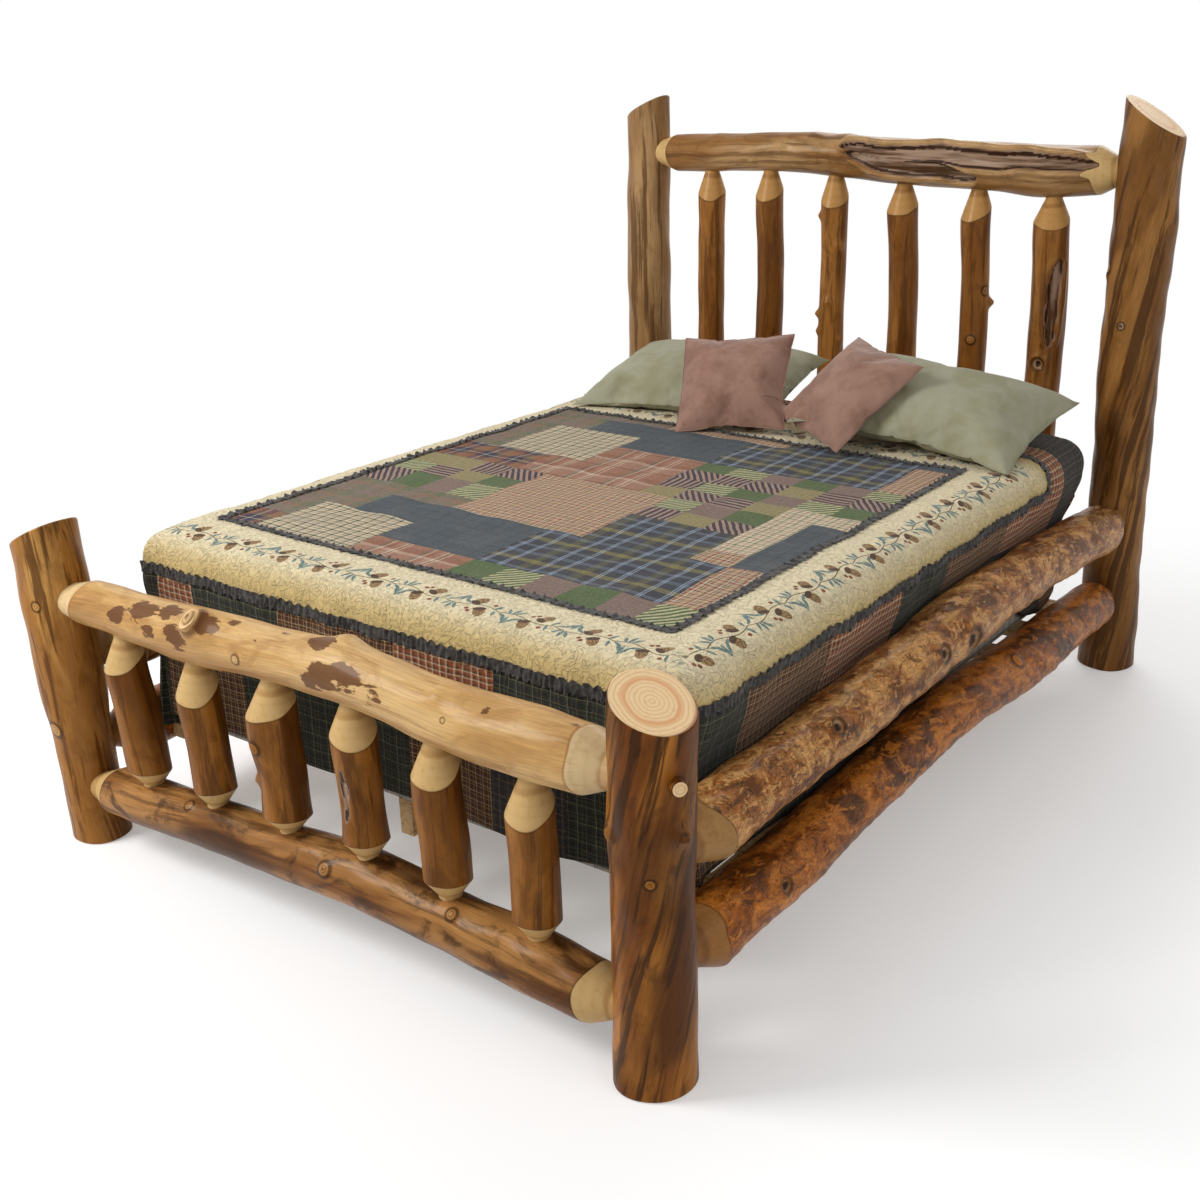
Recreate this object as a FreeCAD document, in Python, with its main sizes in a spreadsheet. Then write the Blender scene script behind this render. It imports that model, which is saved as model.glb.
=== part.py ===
import FreeCAD, Part
import os
import Sketcher

# Rustic log bed, queen size, dressed with a mattress, a patchwork quilt and four pillows.
# Millimetres. +X is the bed's right side, -Y its foot end, +Y its head end, +Z up.
# The origin is on the floor at the middle of the bed.

Vector = FreeCAD.Vector
Rotation = FreeCAD.Rotation
Placement = FreeCAD.Placement

# Driving sizes

SIZES = {
    # Post axes across and along the bed
    "post_across": 1700,
    "post_along": 2400,
    # Heights of the slanted saw cuts at the post axes
    "foot_post_height": 780,
    "head_post_height": 1607,
    # Heights of the head posts' middle sections
    "head_waist_height": 836,
    "head_chest_height": 1157,
    # Post radii, one for each log
    "foot_left_radius": 78,
    "foot_right_radius": 80,
    "head_left_radius": 75,
    "head_right_radius": 85,
    # Slants of the saw cuts, in degrees
    "foot_left_slant": 28,
    "foot_right_slant": 24,
    "head_left_slant": 28,
    "head_right_slant": 33,
    # Heights of the rail axes where they enter the posts
    "foot_top_height": 630,
    "foot_bottom_height": 140,
    "head_top_height": 1460,
    "head_bottom_height": 343,
    "side_upper_height": 468,
    "side_lower_height": 238,
    # Rail radii
    "foot_top_radius": 64,
    "foot_bottom_radius": 64,
    "head_top_radius": 68,
    "head_bottom_radius": 60,
    "side_upper_radius": 72,
    "side_lower_radius": 70,
    # Round tenons on the rails and their tapered shoulders
    "top_tenon_radius": 42,
    "bottom_tenon_radius": 38,
    "side_upper_tenon_radius": 45,
    "side_lower_tenon_radius": 36,
    "rail_tenon_length": 100,
    "rail_shoulder": 48,
    "side_shoulder": 66,
    # Spindles
    "foot_spindle_radius": 49,
    "head_spindle_radius": 45,
    "spindle_tenon_radius": 24,
    "spindle_tenon_length": 42,
    "spindle_top_shoulder": 58,
    "spindle_bottom_shoulder": 34,
    # Fits
    "joint_clearance": 0.25,
    "seat_gap": 2,
    "mortise_lead": 12,
    "mortise_relief": 3,
    # Sawn branch stubs left on the logs
    "stub_large_radius": 26,
    "stub_small_radius": 14,
    "stub_stand": 16,
    # Flat sawn on the inner side of the lower side rails
    "rail_flat_offset": 42,
    "rail_flat_length": 2020,
    # Ledgers that carry the slats
    "ledger_width": 64,
    "ledger_height": 38,
    "ledger_length": 2000,
    "ledger_base": 198,
    # Slats
    "slat_length": 1544,
    "slat_width": 89,
    "slat_thickness": 19,
    "slat_span": 1850,
    # Centre beam, its legs and glides
    "beam_thickness": 38,
    "beam_height": 89,
    "beam_length": 1950,
    "leg_thickness": 38,
    "leg_width": 89,
    "leg_top_drop": 8,
    "leg_spread": 550,
    "glide_radius": 16,
    "glide_height": 12,
    "glide_stem_radius": 4,
    "glide_stem_length": 28,
    # Lag bolts that hold the side rail tenons
    "lag_radius": 4.75,
    "lag_length": 92,
    "lag_head_radius": 8.2,
    "lag_head_height": 6,
    "lag_pocket_radius": 16,
    "lag_pocket_depth": 12,
    "washer_radius": 12.5,
    "washer_thickness": 2,
    # Carriage bolts through the legs
    "leg_bolt_radius": 4,
    "leg_bolt_head_radius": 9,
    "leg_bolt_head_height": 4,
    "leg_bolt_spacing": 44,
    "nut_radius": 7.5,
    "nut_height": 6.5,
    "leg_bolt_stand": 2,
    # Wood screws
    "screw_radius": 2.2,
    "screw_head_radius": 4.4,
    "screw_head_height": 2.4,
    "ledger_screw_length": 96,
    "slat_screw_length": 48,
    "screw_clearance": 0.1,
    # Bedding
    "spring_width": 1500,
    "spring_length": 2010,
    "spring_height": 200,
    "spring_round": 24,
    "mattress_width": 1524,
    "mattress_length": 2032,
    "mattress_height": 280,
    "mattress_round": 40,
    "quilt_thickness": 9,
    "quilt_gap": 0.4,
    "quilt_side_swell": 40,
    "quilt_foot_swell": 26,
    "quilt_head_swell": 44,
    "quilt_fold": 44,
    "quilt_fold_width": 96,
    "quilt_wave": 9,
    "quilt_side_wave": 1.1,
    "quilt_foot_hem": 292,
    "quilt_side_hem": 268,
    "quilt_tail": 250,
    "quilt_lifted_hem": 398,
    "quilt_head_hem": 560,
    # Pillows
    "pillow_width": 660,
    "pillow_depth": 480,
    "pillow_crown": 84,
    "pillow_belly": 136,
    "pillow_tuck": 26,
    "throw_side": 330,
    "throw_crown": 58,
    "throw_belly": 58,
    "throw_tuck": 20,
    "pillow_gap": 0.4,
    "pillow_left_x": -374,
    "pillow_left_y": 798,
    "pillow_left_rise": 84,
    "pillow_right_x": 440,
    "pillow_right_y": 752,
    "pillow_right_rise": 104,
    "throw_left_x": -127,
    "throw_left_y": 597,
    "throw_left_rise": 130,
    "throw_right_x": 236,
    "throw_right_y": 622,
    "throw_right_rise": 139,
}

SLAT_COUNT = 10
LEG_COUNT = 3
LEDGER_SCREW_COUNT = 8

# Log courses: at each level of a post its sway across, sway along and girth, as shares of its radius

FOOT_LEFT_SHARES = {
    "ground": (0.10, 0.0, 0.90),
    "bottom": (-0.08, 0.02, 0.86),
    "lower": (-0.14, 0.03, 0.87),
    "upper": (-0.17, 0.0, 0.98),
    "top": (-0.21, -0.02, 1.0),
    "crown": (-0.32, -0.03, 1.0),
}
FOOT_RIGHT_SHARES = {
    "ground": (-0.05, 0.0, 1.0),
    "bottom": (-0.05, 0.0, 0.98),
    "lower": (-0.05, 0.01, 0.98),
    "upper": (-0.05, 0.02, 0.98),
    "top": (-0.02, 0.0, 1.0),
    "crown": (0.03, -0.02, 0.96),
}
HEAD_LEFT_SHARES = {
    "ground": (-0.02, 0.0, 1.05),
    "lower": (-0.06, 0.0, 1.02),
    "bottom": (-0.08, 0.01, 1.01),
    "upper": (-0.09, 0.01, 1.0),
    "waist": (-0.11, 0.02, 0.99),
    "chest": (-0.10, 0.0, 0.98),
    "top": (-0.02, 0.0, 0.96),
    "crown": (0.02, 0.0, 0.94),
}
HEAD_RIGHT_SHARES = {
    "ground": (0.11, 0.0, 1.0),
    "lower": (0.04, 0.0, 0.975),
    "bottom": (0.01, 0.0, 0.97),
    "upper": (-0.02, 0.0, 0.965),
    "waist": (-0.10, 0.02, 0.99),
    "chest": (-0.12, 0.0, 1.0),
    "top": (-0.07, 0.0, 1.01),
    "crown": (-0.05, 0.0, 0.98),
}
POST_LEVELS = {
    "ground": "0",
    "bottom": "Sizes.{end}_bottom_height",
    "lower": "Sizes.side_lower_height",
    "upper": "Sizes.side_upper_height",
    "waist": "Sizes.head_waist_height",
    "chest": "Sizes.head_chest_height",
    "top": "Sizes.{end}_top_height",
    "crown": "Sizes.{end}_post_height + Sizes.{end}_{side}_radius",
}

# Spindle places across the bed, as shares of half the post spacing, at the top and at the bottom rail,
# then the girth and the sway at two heights, as shares of the spindle radius.

FOOT_SPINDLE_SHARES = [
    (-0.735, -0.702, 1.00, ((0.02, 1.02), (0.05, 1.0))),
    (-0.441, -0.430, 0.97, ((-0.03, 0.98), (0.03, 1.01))),
    (-0.150, -0.145, 1.09, ((0.05, 0.94), (-0.04, 1.02))),
    (0.128, 0.135, 1.00, ((0.0, 0.90), (0.02, 0.96))),
    (0.396, 0.405, 1.00, ((0.04, 1.0), (-0.02, 1.02))),
    (0.675, 0.675, 0.98, ((-0.02, 1.0), (0.03, 0.99))),
]
HEAD_SPINDLE_SHARES = [
    (-0.700, -0.718, 0.97, ((0.03, 1.02), (0.0, 1.0))),
    (-0.436, -0.443, 0.98, ((-0.08, 1.04), (0.12, 0.99))),
    (-0.157, -0.162, 0.93, ((-0.05, 1.02), (-0.04, 0.96))),
    (0.121, 0.145, 1.02, ((-0.05, 1.03), (0.12, 1.0))),
    (0.407, 0.418, 0.96, ((0.0, 1.01), (0.08, 0.98))),
    (0.679, 0.687, 1.13, ((0.05, 1.02), (0.12, 1.03))),
]

# Rail courses: lift and girth at the start, at each of the six spindles and at the end,
# as shares of the rail radius.

FOOT_TOP_SHARES = [
    (-0.08, 0.86), (-0.03, 0.86), (0.02, 0.98), (0.23, 0.91),
    (0.36, 0.98), (0.06, 1.01), (-0.06, 1.07), (0.0, 0.99),
]
FOOT_BOTTOM_SHARES = [
    (0.0, 0.92), (0.10, 0.96), (0.35, 0.94), (0.47, 0.98),
    (0.62, 1.03), (0.39, 1.0), (0.17, 1.02), (0.0, 0.96),
]
HEAD_TOP_SHARES = [
    (0.06, 0.85), (0.12, 0.86), (0.23, 0.88), (0.22, 0.92),
    (0.03, 0.99), (-0.03, 1.0), (-0.14, 1.06), (-0.06, 0.98),
]
HEAD_BOTTOM_SHARES = [
    (0.0, 0.96), (0.08, 0.98), (0.17, 1.0), (0.21, 1.02),
    (0.15, 1.01), (0.06, 1.0), (0.02, 0.98), (0.0, 0.96),
]

# Side rail courses: place along the clear length, then lift, outward sway and girth.

UPPER_RIGHT_SHARES = [
    (0.0, 0.0, 0.0, 0.97), (0.14, 0.03, 0.0, 0.95), (0.28, 0.14, 0.01, 0.97), (0.43, 0.36, 0.04, 1.03),
    (0.57, 0.57, 0.03, 1.02), (0.71, 0.46, 0.0, 0.98), (0.86, 0.30, 0.0, 0.98), (1.0, 0.02, 0.02, 0.99),
]
LOWER_RIGHT_SHARES = [
    (0.0, 0.0, 0.02, 1.01), (0.14, 0.0, 0.02, 1.01), (0.28, 0.21, 0.0, 0.94), (0.43, 0.42, 0.0, 0.96),
    (0.57, 0.50, 0.01, 0.99), (0.71, 0.20, 0.06, 1.05), (0.86, 0.11, 0.03, 1.02), (1.0, -0.02, 0.0, 0.97),
]
UPPER_LEFT_SHARES = [
    (0.0, 0.0, 0.0, 0.98), (0.14, 0.10, 0.0, 0.97), (0.28, 0.27, 0.01, 0.99), (0.43, 0.42, 0.02, 1.01),
    (0.57, 0.40, 0.02, 1.02), (0.71, 0.22, 0.01, 1.0), (0.86, 0.08, 0.0, 0.97), (1.0, 0.0, 0.0, 0.95),
]
LOWER_LEFT_SHARES = [
    (0.0, 0.0, 0.02, 1.01), (0.14, 0.08, 0.02, 1.0), (0.28, 0.24, 0.01, 0.98), (0.43, 0.36, 0.0, 0.98),
    (0.57, 0.34, 0.0, 0.97), (0.71, 0.22, 0.02, 1.0), (0.86, 0.08, 0.02, 1.01), (1.0, 0.0, 0.0, 0.98),
]

# The document and its sheet

document = FreeCAD.newDocument("rustic_log_bed")
sheet = document.addObject("Spreadsheet::Sheet", "Sizes")
for row, (alias, value) in enumerate(SIZES.items(), start=1):
    sheet.set(f"A{row}", alias)
    sheet.set(f"B{row}", str(value))
    sheet.setAlias(f"B{row}", alias)
document.recompute()

TURNS = {
    "+x": Rotation(Vector(0, 1, 0), 90),
    "-x": Rotation(Vector(0, 1, 0), -90),
    "+y": Rotation(Vector(1, 0, 0), -90),
    "-y": Rotation(Vector(1, 0, 0), 90),
    "+z": Rotation(Vector(1, 0, 0), 0),
    "-z": Rotation(Vector(1, 0, 0), 180),
}

# Where a log's seam lies, in degrees around its axis: on the side that nothing enters
RAIL_SEAM = 90
POST_SEAMS = {("foot", "left"): 225, ("foot", "right"): -45, ("head", "left"): 135, ("head", "right"): 45}

parts = []


def size(alias):
    """One driving size, in millimetres."""
    return float(sheet.get(alias))


def bind(thing, **expressions):
    """Bind an object's own sizes to expressions over the sheet."""
    for name, text in expressions.items():
        thing.setExpression(name, text)


def put(thing, turn, x, y, z):
    """Give an object its direction and bind its place."""
    thing.Placement = Placement(Vector(0, 0, 0), TURNS[turn])
    thing.setExpression("Placement.Base.x", x)
    thing.setExpression("Placement.Base.y", y)
    thing.setExpression("Placement.Base.z", z)


def keep(thing, label):
    """Name a finished piece."""
    thing.Label = label
    parts.append(thing)
    return thing


def rod(name, turn, x, y, z, radius, length):
    """A round bar that starts at a point and runs along one direction."""
    bar = document.addObject("Part::Cylinder", name)
    bind(bar, Radius=radius, Height=length)
    put(bar, turn, x, y, z)
    return bar


def cone(name, turn, x, y, z, first_radius, last_radius, length):
    """A tapered bar that starts at a point and runs along one direction."""
    taper = document.addObject("Part::Cone", name)
    bind(taper, Radius1=first_radius, Radius2=last_radius, Height=length)
    put(taper, turn, x, y, z)
    return taper


def block(name, x, y, z, length, width, height):
    """A square-edged block with its lowest corner at a point."""
    box = document.addObject("Part::Box", name)
    bind(box, Length=length, Width=width, Height=height)
    put(box, "+z", x, y, z)
    return box


def union(name, things):
    """Join several forms into one."""
    fuse = document.addObject("Part::MultiFuse", name)
    fuse.Shapes = things
    fuse.Refine = False
    return fuse


def cut(name, base, tools):
    """Take several forms away from a base."""
    result = document.addObject("Part::Cut", name)
    result.Base = base
    result.Tool = tools[0] if len(tools) == 1 else union(name + "_tools", tools)
    result.Refine = False
    return result


def carve(name, base, tools):
    """Take many crossing forms away from a base, one after another."""
    for number, tool in enumerate(tools, start=1):
        base = cut(name if number == len(tools) else f"{name}_pass_{number}", base, [tool])
    return base


def group(name, things):
    """Several separate solids kept as one piece of hardware."""
    pack = document.addObject("Part::Compound", name)
    pack.Links = things
    return pack


class Section:
    """One round section of a log: its centre and its radius, as expressions."""

    def __init__(self, x, y, z, radius):
        self.x, self.y, self.z, self.radius = x, y, z, radius

    def circle(self, name, turn, seam):
        """The section's circle, square to the log, with its seam turned to one side."""
        ring = document.addObject("Part::Circle", name)
        bind(ring, Radius=self.radius)
        put(ring, turn, self.x, self.y, self.z)
        ring.Placement.Rotation = TURNS[turn].multiply(Rotation(Vector(0, 0, 1), seam))
        return ring

    def moved(self, turn, distance):
        """The centre moved along one direction."""
        place = {"x": self.x, "y": self.y, "z": self.z}
        place[turn[1]] = f"{place[turn[1]]} {turn[0]} ({distance})"
        return place["x"], place["y"], place["z"]


def skin(name, turn, sections, seam=RAIL_SEAM):
    """A log's body: one smooth form through its round sections."""
    loft = document.addObject("Part::Loft", name + "_skin")
    loft.Sections = [part.circle(f"{name}_ring_{number}", turn, seam) for number, part in enumerate(sections)]
    loft.Solid = True
    loft.Ruled = False
    return loft


def tenon(name, turn, section, shoulder, radius, length):
    """The tapered shoulder and round tenon at a log's end."""
    taper = cone(name + "_shoulder", turn, section.x, section.y, section.z, section.radius, radius, shoulder)
    x, y, z = section.moved(turn, shoulder)
    return [taper, rod(name + "_tenon", turn, x, y, z, radius, length)]


def mortise(name, turn, section, shoulder, radius, length):
    """The hole that a tenon seats in, a clearance larger and a relief deeper, cut from outside the log."""
    x, y, z = section.moved(turn, f"{shoulder} - Sizes.mortise_lead")
    return rod(name, turn, x, y, z, f"{radius} + Sizes.joint_clearance",
               f"{length} + Sizes.mortise_lead + Sizes.mortise_relief")


STUB_FLARE_SHARE = 1.25


def stub(name, section, direction, radius):
    """A sawn branch stub that stands out of a log."""
    base = document.addObject("Part::Cone", name)
    bind(base, Radius1=f"{radius} * {STUB_FLARE_SHARE}", Radius2=radius, Height=f"{section.radius} + Sizes.stub_stand")
    put(base, "+z", section.x, section.y, section.z)
    base.Placement.Rotation = Rotation(Vector(0, 0, 1), Vector(*direction))
    return base


# Posts

POST_SIGNS = {"left": "-", "right": "+"}
END_SIGNS = {"foot": "-", "head": "+"}
POST_SHARES = {
    ("foot", "left"): FOOT_LEFT_SHARES,
    ("foot", "right"): FOOT_RIGHT_SHARES,
    ("head", "left"): HEAD_LEFT_SHARES,
    ("head", "right"): HEAD_RIGHT_SHARES,
}


def post_sections(end, side):
    """The round sections of one post, from the floor up."""
    radius = f"Sizes.{end}_{side}_radius"
    sections = {}
    for level, (across, along, girth) in POST_SHARES[end, side].items():
        sections[level] = Section(
            f"{POST_SIGNS[side]} Sizes.post_across / 2 + {radius} * ({across})",
            f"{END_SIGNS[end]} Sizes.post_along / 2 + {radius} * ({along})",
            POST_LEVELS[level].format(end=end, side=side),
            f"{radius} * {girth}",
        )
    return sections


posts = {key: post_sections(*key) for key in POST_SHARES}
mortises = {key: [] for key in POST_SHARES}


def surface(section, sign, axis):
    """The place of a log's surface on one side, as an expression."""
    centre = section.x if axis == "x" else section.y
    return f"({centre} {sign} {section.radius})"


# Rails across the bed

def cross_rail(end, level, course_shares, spindle_shares, spindle_end, stubs=()):
    """A rail between two posts, with mortises for the six spindles."""
    name = f"{end}board_{level}_rail"
    radius = f"Sizes.{end}_{level}_radius"
    height = f"Sizes.{end}_{level}_height"
    left, right = posts[end, "left"][level], posts[end, "right"][level]
    reach = "Sizes.seat_gap + Sizes.rail_shoulder"
    places = [f"{surface(left, '+', 'x')} + {reach}"]
    places += [f"Sizes.post_across / 2 * ({share[spindle_end]})" for share in spindle_shares]
    places += [f"{surface(right, '-', 'x')} - ({reach})"]
    line = f"{END_SIGNS[end]} Sizes.post_along / 2"
    sections = [
        Section(place, line, f"{height} + {radius} * ({lift})", f"{radius} * {girth}")
        for place, (lift, girth) in zip(places, course_shares)
    ]
    kind = "top" if level == "top" else "bottom"
    fit = ("Sizes.rail_shoulder", f"Sizes.{kind}_tenon_radius", "Sizes.rail_tenon_length")
    forms = [skin(name, "+x", sections)]
    forms += tenon(name + "_left", "-x", sections[0], *fit)
    forms += tenon(name + "_right", "+x", sections[-1], *fit)
    mortises[end, "left"].append(mortise(name + "_left_mortise", "-x", sections[0], *fit))
    mortises[end, "right"].append(mortise(name + "_right_mortise", "+x", sections[-1], *fit))
    for number, (station, direction, stub_radius) in enumerate(stubs):
        forms.append(stub(f"{name}_stub_{number}", sections[station], direction, stub_radius))
    return name, union(name + "_log", forms), sections


SPINDLE_TOP, SPINDLE_BOTTOM = 0, 1
FOOT_TOP_STUB = (2, (-0.25, -0.62, 0.74), "Sizes.stub_large_radius")
rails = {
    ("foot", "top"): cross_rail("foot", "top", FOOT_TOP_SHARES, FOOT_SPINDLE_SHARES, SPINDLE_TOP,
                                [FOOT_TOP_STUB]),
    ("foot", "bottom"): cross_rail("foot", "bottom", FOOT_BOTTOM_SHARES, FOOT_SPINDLE_SHARES, SPINDLE_BOTTOM),
    ("head", "top"): cross_rail("head", "top", HEAD_TOP_SHARES, HEAD_SPINDLE_SHARES, SPINDLE_TOP),
    ("head", "bottom"): cross_rail("head", "bottom", HEAD_BOTTOM_SHARES, HEAD_SPINDLE_SHARES, SPINDLE_BOTTOM),
}


# Spindles

def spindle(end, number, shares):
    """A spindle between the two rails of one end, and the mortises that it needs."""
    name = f"{end}board_spindle_{number + 1}"
    top_share, bottom_share, girth, bellies = shares
    radius = f"Sizes.{end}_spindle_radius"
    upper, lower = rails[end, "top"][2][number + 1], rails[end, "bottom"][2][number + 1]
    low = f"({lower.z} + {lower.radius} + Sizes.seat_gap + Sizes.spindle_bottom_shoulder)"
    high = f"({upper.z} - {upper.radius} - Sizes.seat_gap - Sizes.spindle_top_shoulder)"
    line = f"{END_SIGNS[end]} Sizes.post_along / 2"
    sections = [Section(lower.x, line, low, f"{radius} * {girth}")]
    for step, (sway, swell) in enumerate(bellies, start=1):
        share = step / (len(bellies) + 1)
        sections.append(Section(
            f"{lower.x} + ({upper.x} - {lower.x}) * {share:.3f} + {radius} * ({sway})",
            line,
            f"{low} + ({high} - {low}) * {share:.3f}",
            f"{radius} * {girth * swell:.3f}",
        ))
    sections.append(Section(upper.x, line, high, f"{radius} * {girth}"))
    top_fit = ("Sizes.spindle_top_shoulder", "Sizes.spindle_tenon_radius", "Sizes.spindle_tenon_length")
    low_fit = ("Sizes.spindle_bottom_shoulder", "Sizes.spindle_tenon_radius", "Sizes.spindle_tenon_length")
    forms = [skin(name, "+z", sections)]
    forms += tenon(name + "_top", "+z", sections[-1], *top_fit)
    forms += tenon(name + "_bottom", "-z", sections[0], *low_fit)
    keep(union(name, forms), name)
    return (mortise(name + "_top_mortise", "+z", sections[-1], *top_fit),
            mortise(name + "_bottom_mortise", "-z", sections[0], *low_fit))


for end, spindle_shares in (("foot", FOOT_SPINDLE_SHARES), ("head", HEAD_SPINDLE_SHARES)):
    pairs = [spindle(end, number, shares) for number, shares in enumerate(spindle_shares)]
    for level, which in (("top", SPINDLE_TOP), ("bottom", SPINDLE_BOTTOM)):
        name, log, _ = rails[end, level]
        keep(cut(name, log, [pair[which] for pair in pairs]), name)


# Side rails

SIDE_SHARES = {
    ("upper", "right"): UPPER_RIGHT_SHARES,
    ("lower", "right"): LOWER_RIGHT_SHARES,
    ("upper", "left"): UPPER_LEFT_SHARES,
    ("lower", "left"): LOWER_LEFT_SHARES,
}
INWARD = {"left": "+x", "right": "-x"}
OUTWARD = {"left": "-x", "right": "+x"}
ledger_top = "(Sizes.ledger_base + Sizes.ledger_height)"
ledger_middle = "(Sizes.ledger_base + Sizes.ledger_height / 2)"


def spread(count, span, number):
    """One of several places evenly spread over a span, as an expression."""
    return f"{span} * ({number / (count - 1) - 0.5:.4f})"


def flat_face(side):
    """The place of the flat on a lower side rail, as an expression."""
    return f"{POST_SIGNS[side]} (Sizes.post_across / 2 - Sizes.rail_flat_offset)"


def ledger_screw_places(side):
    """The outer ends of the ledger screws' heads, at the ledger's inner face."""
    edge = f"{flat_face(side)} {INWARD[side][0]} Sizes.ledger_width"
    span = "(Sizes.ledger_length - Sizes.ledger_width * 2)"
    return [(edge, spread(LEDGER_SCREW_COUNT, span, number), ledger_middle)
            for number in range(LEDGER_SCREW_COUNT)]


def wood_screw(name, turn, place):
    """A countersunk wood screw, its head flush with the face that it enters."""
    head = cone(name + "_head", turn, *place, "Sizes.screw_head_radius", "Sizes.screw_radius",
                "Sizes.screw_head_height")
    length = "Sizes.slat_screw_length" if turn[1] == "z" else "Sizes.ledger_screw_length"
    return union(name, [head, rod(name + "_shank", turn, *place, "Sizes.screw_radius", length)])


def screw_hole(name, turn, place, length):
    """The hole of a wood screw, with its countersink, a clearance larger."""
    wide = "Sizes.screw_head_radius + Sizes.screw_clearance"
    slim = "Sizes.screw_radius + Sizes.screw_clearance"
    sink = cone(name + "_sink", turn, *place, wide, slim, "Sizes.screw_head_height")
    return union(name, [sink, rod(name + "_bore", turn, *place, slim, f"{length} + Sizes.mortise_relief")])


lag_bolts, lag_washers = [], []


def lag_bolt(name, end, side, section, inner):
    """The lag bolt that pins a side rail's tenon, its washer, and the cutters for post and rail."""
    x = f"{surface(section, INWARD[side][0], 'x')} {OUTWARD[side][0]} Sizes.lag_pocket_depth"
    place = (x, section.y, section.z)
    turn = OUTWARD[side]
    seat = f"({x} {INWARD[side][0]} Sizes.washer_thickness)"
    head = document.addObject("Part::Prism", name + "_head")
    head.Polygon = 6
    bind(head, Circumradius="Sizes.lag_head_radius", Height="Sizes.lag_head_height")
    put(head, INWARD[side], seat, section.y, section.z)
    shank = rod(name + "_shank", turn, seat, section.y, section.z, "Sizes.lag_radius", "Sizes.lag_length")
    lag_bolts.append(union(name, [head, shank]))
    ring = rod(name + "_ring", INWARD[side], *place, "Sizes.washer_radius", "Sizes.washer_thickness")
    eye = rod(name + "_eye", INWARD[side], *place, "Sizes.lag_radius + Sizes.joint_clearance",
              "Sizes.washer_thickness")
    lag_washers.append(cut(name + "_washer", ring, [eye]))
    pocket = rod(name + "_pocket", INWARD[side], *place, "Sizes.lag_pocket_radius",
                 "Sizes.lag_pocket_depth * 2")
    bores = [rod(f"{name}_{owner}_bore", turn, *place, "Sizes.lag_radius + Sizes.joint_clearance / 2",
                 "Sizes.lag_length + Sizes.mortise_relief") for owner in ("post", "rail")]
    mortises[end, side] += [pocket, bores[0]]
    inner.append(bores[1])


def side_rail(level, side):
    """A log between a foot post and a head post, pinned by a lag bolt at each end."""
    name = f"side_rail_{level}_{side}"
    radius = f"Sizes.side_{level}_radius"
    foot, head = posts["foot", side][level], posts["head", side][level]
    start = f"({surface(foot, '+', 'y')} + Sizes.seat_gap + Sizes.side_shoulder)"
    finish = f"({surface(head, '-', 'y')} - Sizes.seat_gap - Sizes.side_shoulder)"
    line = f"{POST_SIGNS[side]} Sizes.post_across / 2"
    sections = []
    for place, lift, sway, girth in SIDE_SHARES[level, side]:
        sections.append(Section(
            f"{line} {OUTWARD[side][0]} {radius} * ({sway})",
            f"{start} + ({finish} - {start}) * {place}",
            f"Sizes.side_{level}_height + {radius} * ({lift})",
            f"{radius} * {girth}",
        ))
    fit = ("Sizes.side_shoulder", f"Sizes.side_{level}_tenon_radius", "Sizes.rail_tenon_length")
    forms = [skin(name, "+y", sections)]
    forms += tenon(name + "_foot", "-y", sections[0], *fit)
    forms += tenon(name + "_head", "+y", sections[-1], *fit)
    mortises["foot", side].append(mortise(name + "_foot_mortise", "-y", sections[0], *fit))
    mortises["head", side].append(mortise(name + "_head_mortise", "+y", sections[-1], *fit))
    cutters = []
    for end in END_SIGNS:
        lag_bolt(f"lag_{end}_{level}_{side}", end, side, posts[end, side][level], cutters)
    if level == "lower":
        width = f"{radius} * 2"
        face = flat_face(side) if side == "left" else f"{flat_face(side)} - {width}"
        cutters.append(block(name + "_flat", face, "-Sizes.rail_flat_length / 2", "0",
                             width, "Sizes.rail_flat_length", "Sizes.side_upper_height"))
        for number, place in enumerate(ledger_screw_places(side)):
            cutters.append(screw_hole(f"{name}_pilot_{number}", OUTWARD[side], place,
                                      "Sizes.ledger_screw_length"))
    keep(cut(name, union(name + "_log", forms), cutters), name)


for level, side in SIDE_SHARES:
    side_rail(level, side)
keep(group("side_rail_bolts", lag_bolts), "side_rail_bolts")
keep(group("side_rail_washers", lag_washers), "side_rail_washers")

# Post bodies, once every mortise is known

# How far each end's right saw cut leans towards the middle of the bed, then the saw's own reach
SAW_LEAN_SHARES = {"foot": 0.45, "head": 0.0}
SAW_RADIUS_SHARE = 3
SAW_HEIGHT_SHARE = 4
POST_STUBS = {("foot", "right"): ("top", (0.80, -0.60, 0.08))}


def post(end, side):
    """A post: its skin, its slanted saw cut and the mortises of everything that enters it."""
    name = f"{end}board_post_{side}"
    sections = posts[end, side]
    radius = f"Sizes.{end}_{side}_radius"
    forms = [skin(name, "+z", list(sections.values()), POST_SEAMS[end, side])]
    if (end, side) in POST_STUBS:
        level, direction = POST_STUBS[end, side]
        forms.append(stub(name + "_stub", sections[level], direction, "Sizes.stub_small_radius"))
    log = forms[0] if len(forms) == 1 else union(name + "_log", forms)
    saw = document.addObject("Part::Cylinder", name + "_saw")
    bind(saw, Radius=f"{radius} * {SAW_RADIUS_SHARE}", Height=f"{radius} * {SAW_HEIGHT_SHARE}")
    top = sections["crown"]
    put(saw, "+z", top.x, top.y, f"Sizes.{end}_post_height")
    lean = -SAW_LEAN_SHARES[end] if side == "right" else 0
    tilt = Vector(lean, -1 if side == "right" else 1, 0)
    saw.Placement.Rotation = Rotation(tilt, -size(f"{end}_{side}_slant"))
    sawn = cut(name + "_sawn", log, [saw])
    keep(carve(name, sawn, mortises[end, side]), name)


for end, side in POST_SHARES:
    post(end, side)


# Boards: each is a sketch padded to its thickness

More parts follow.
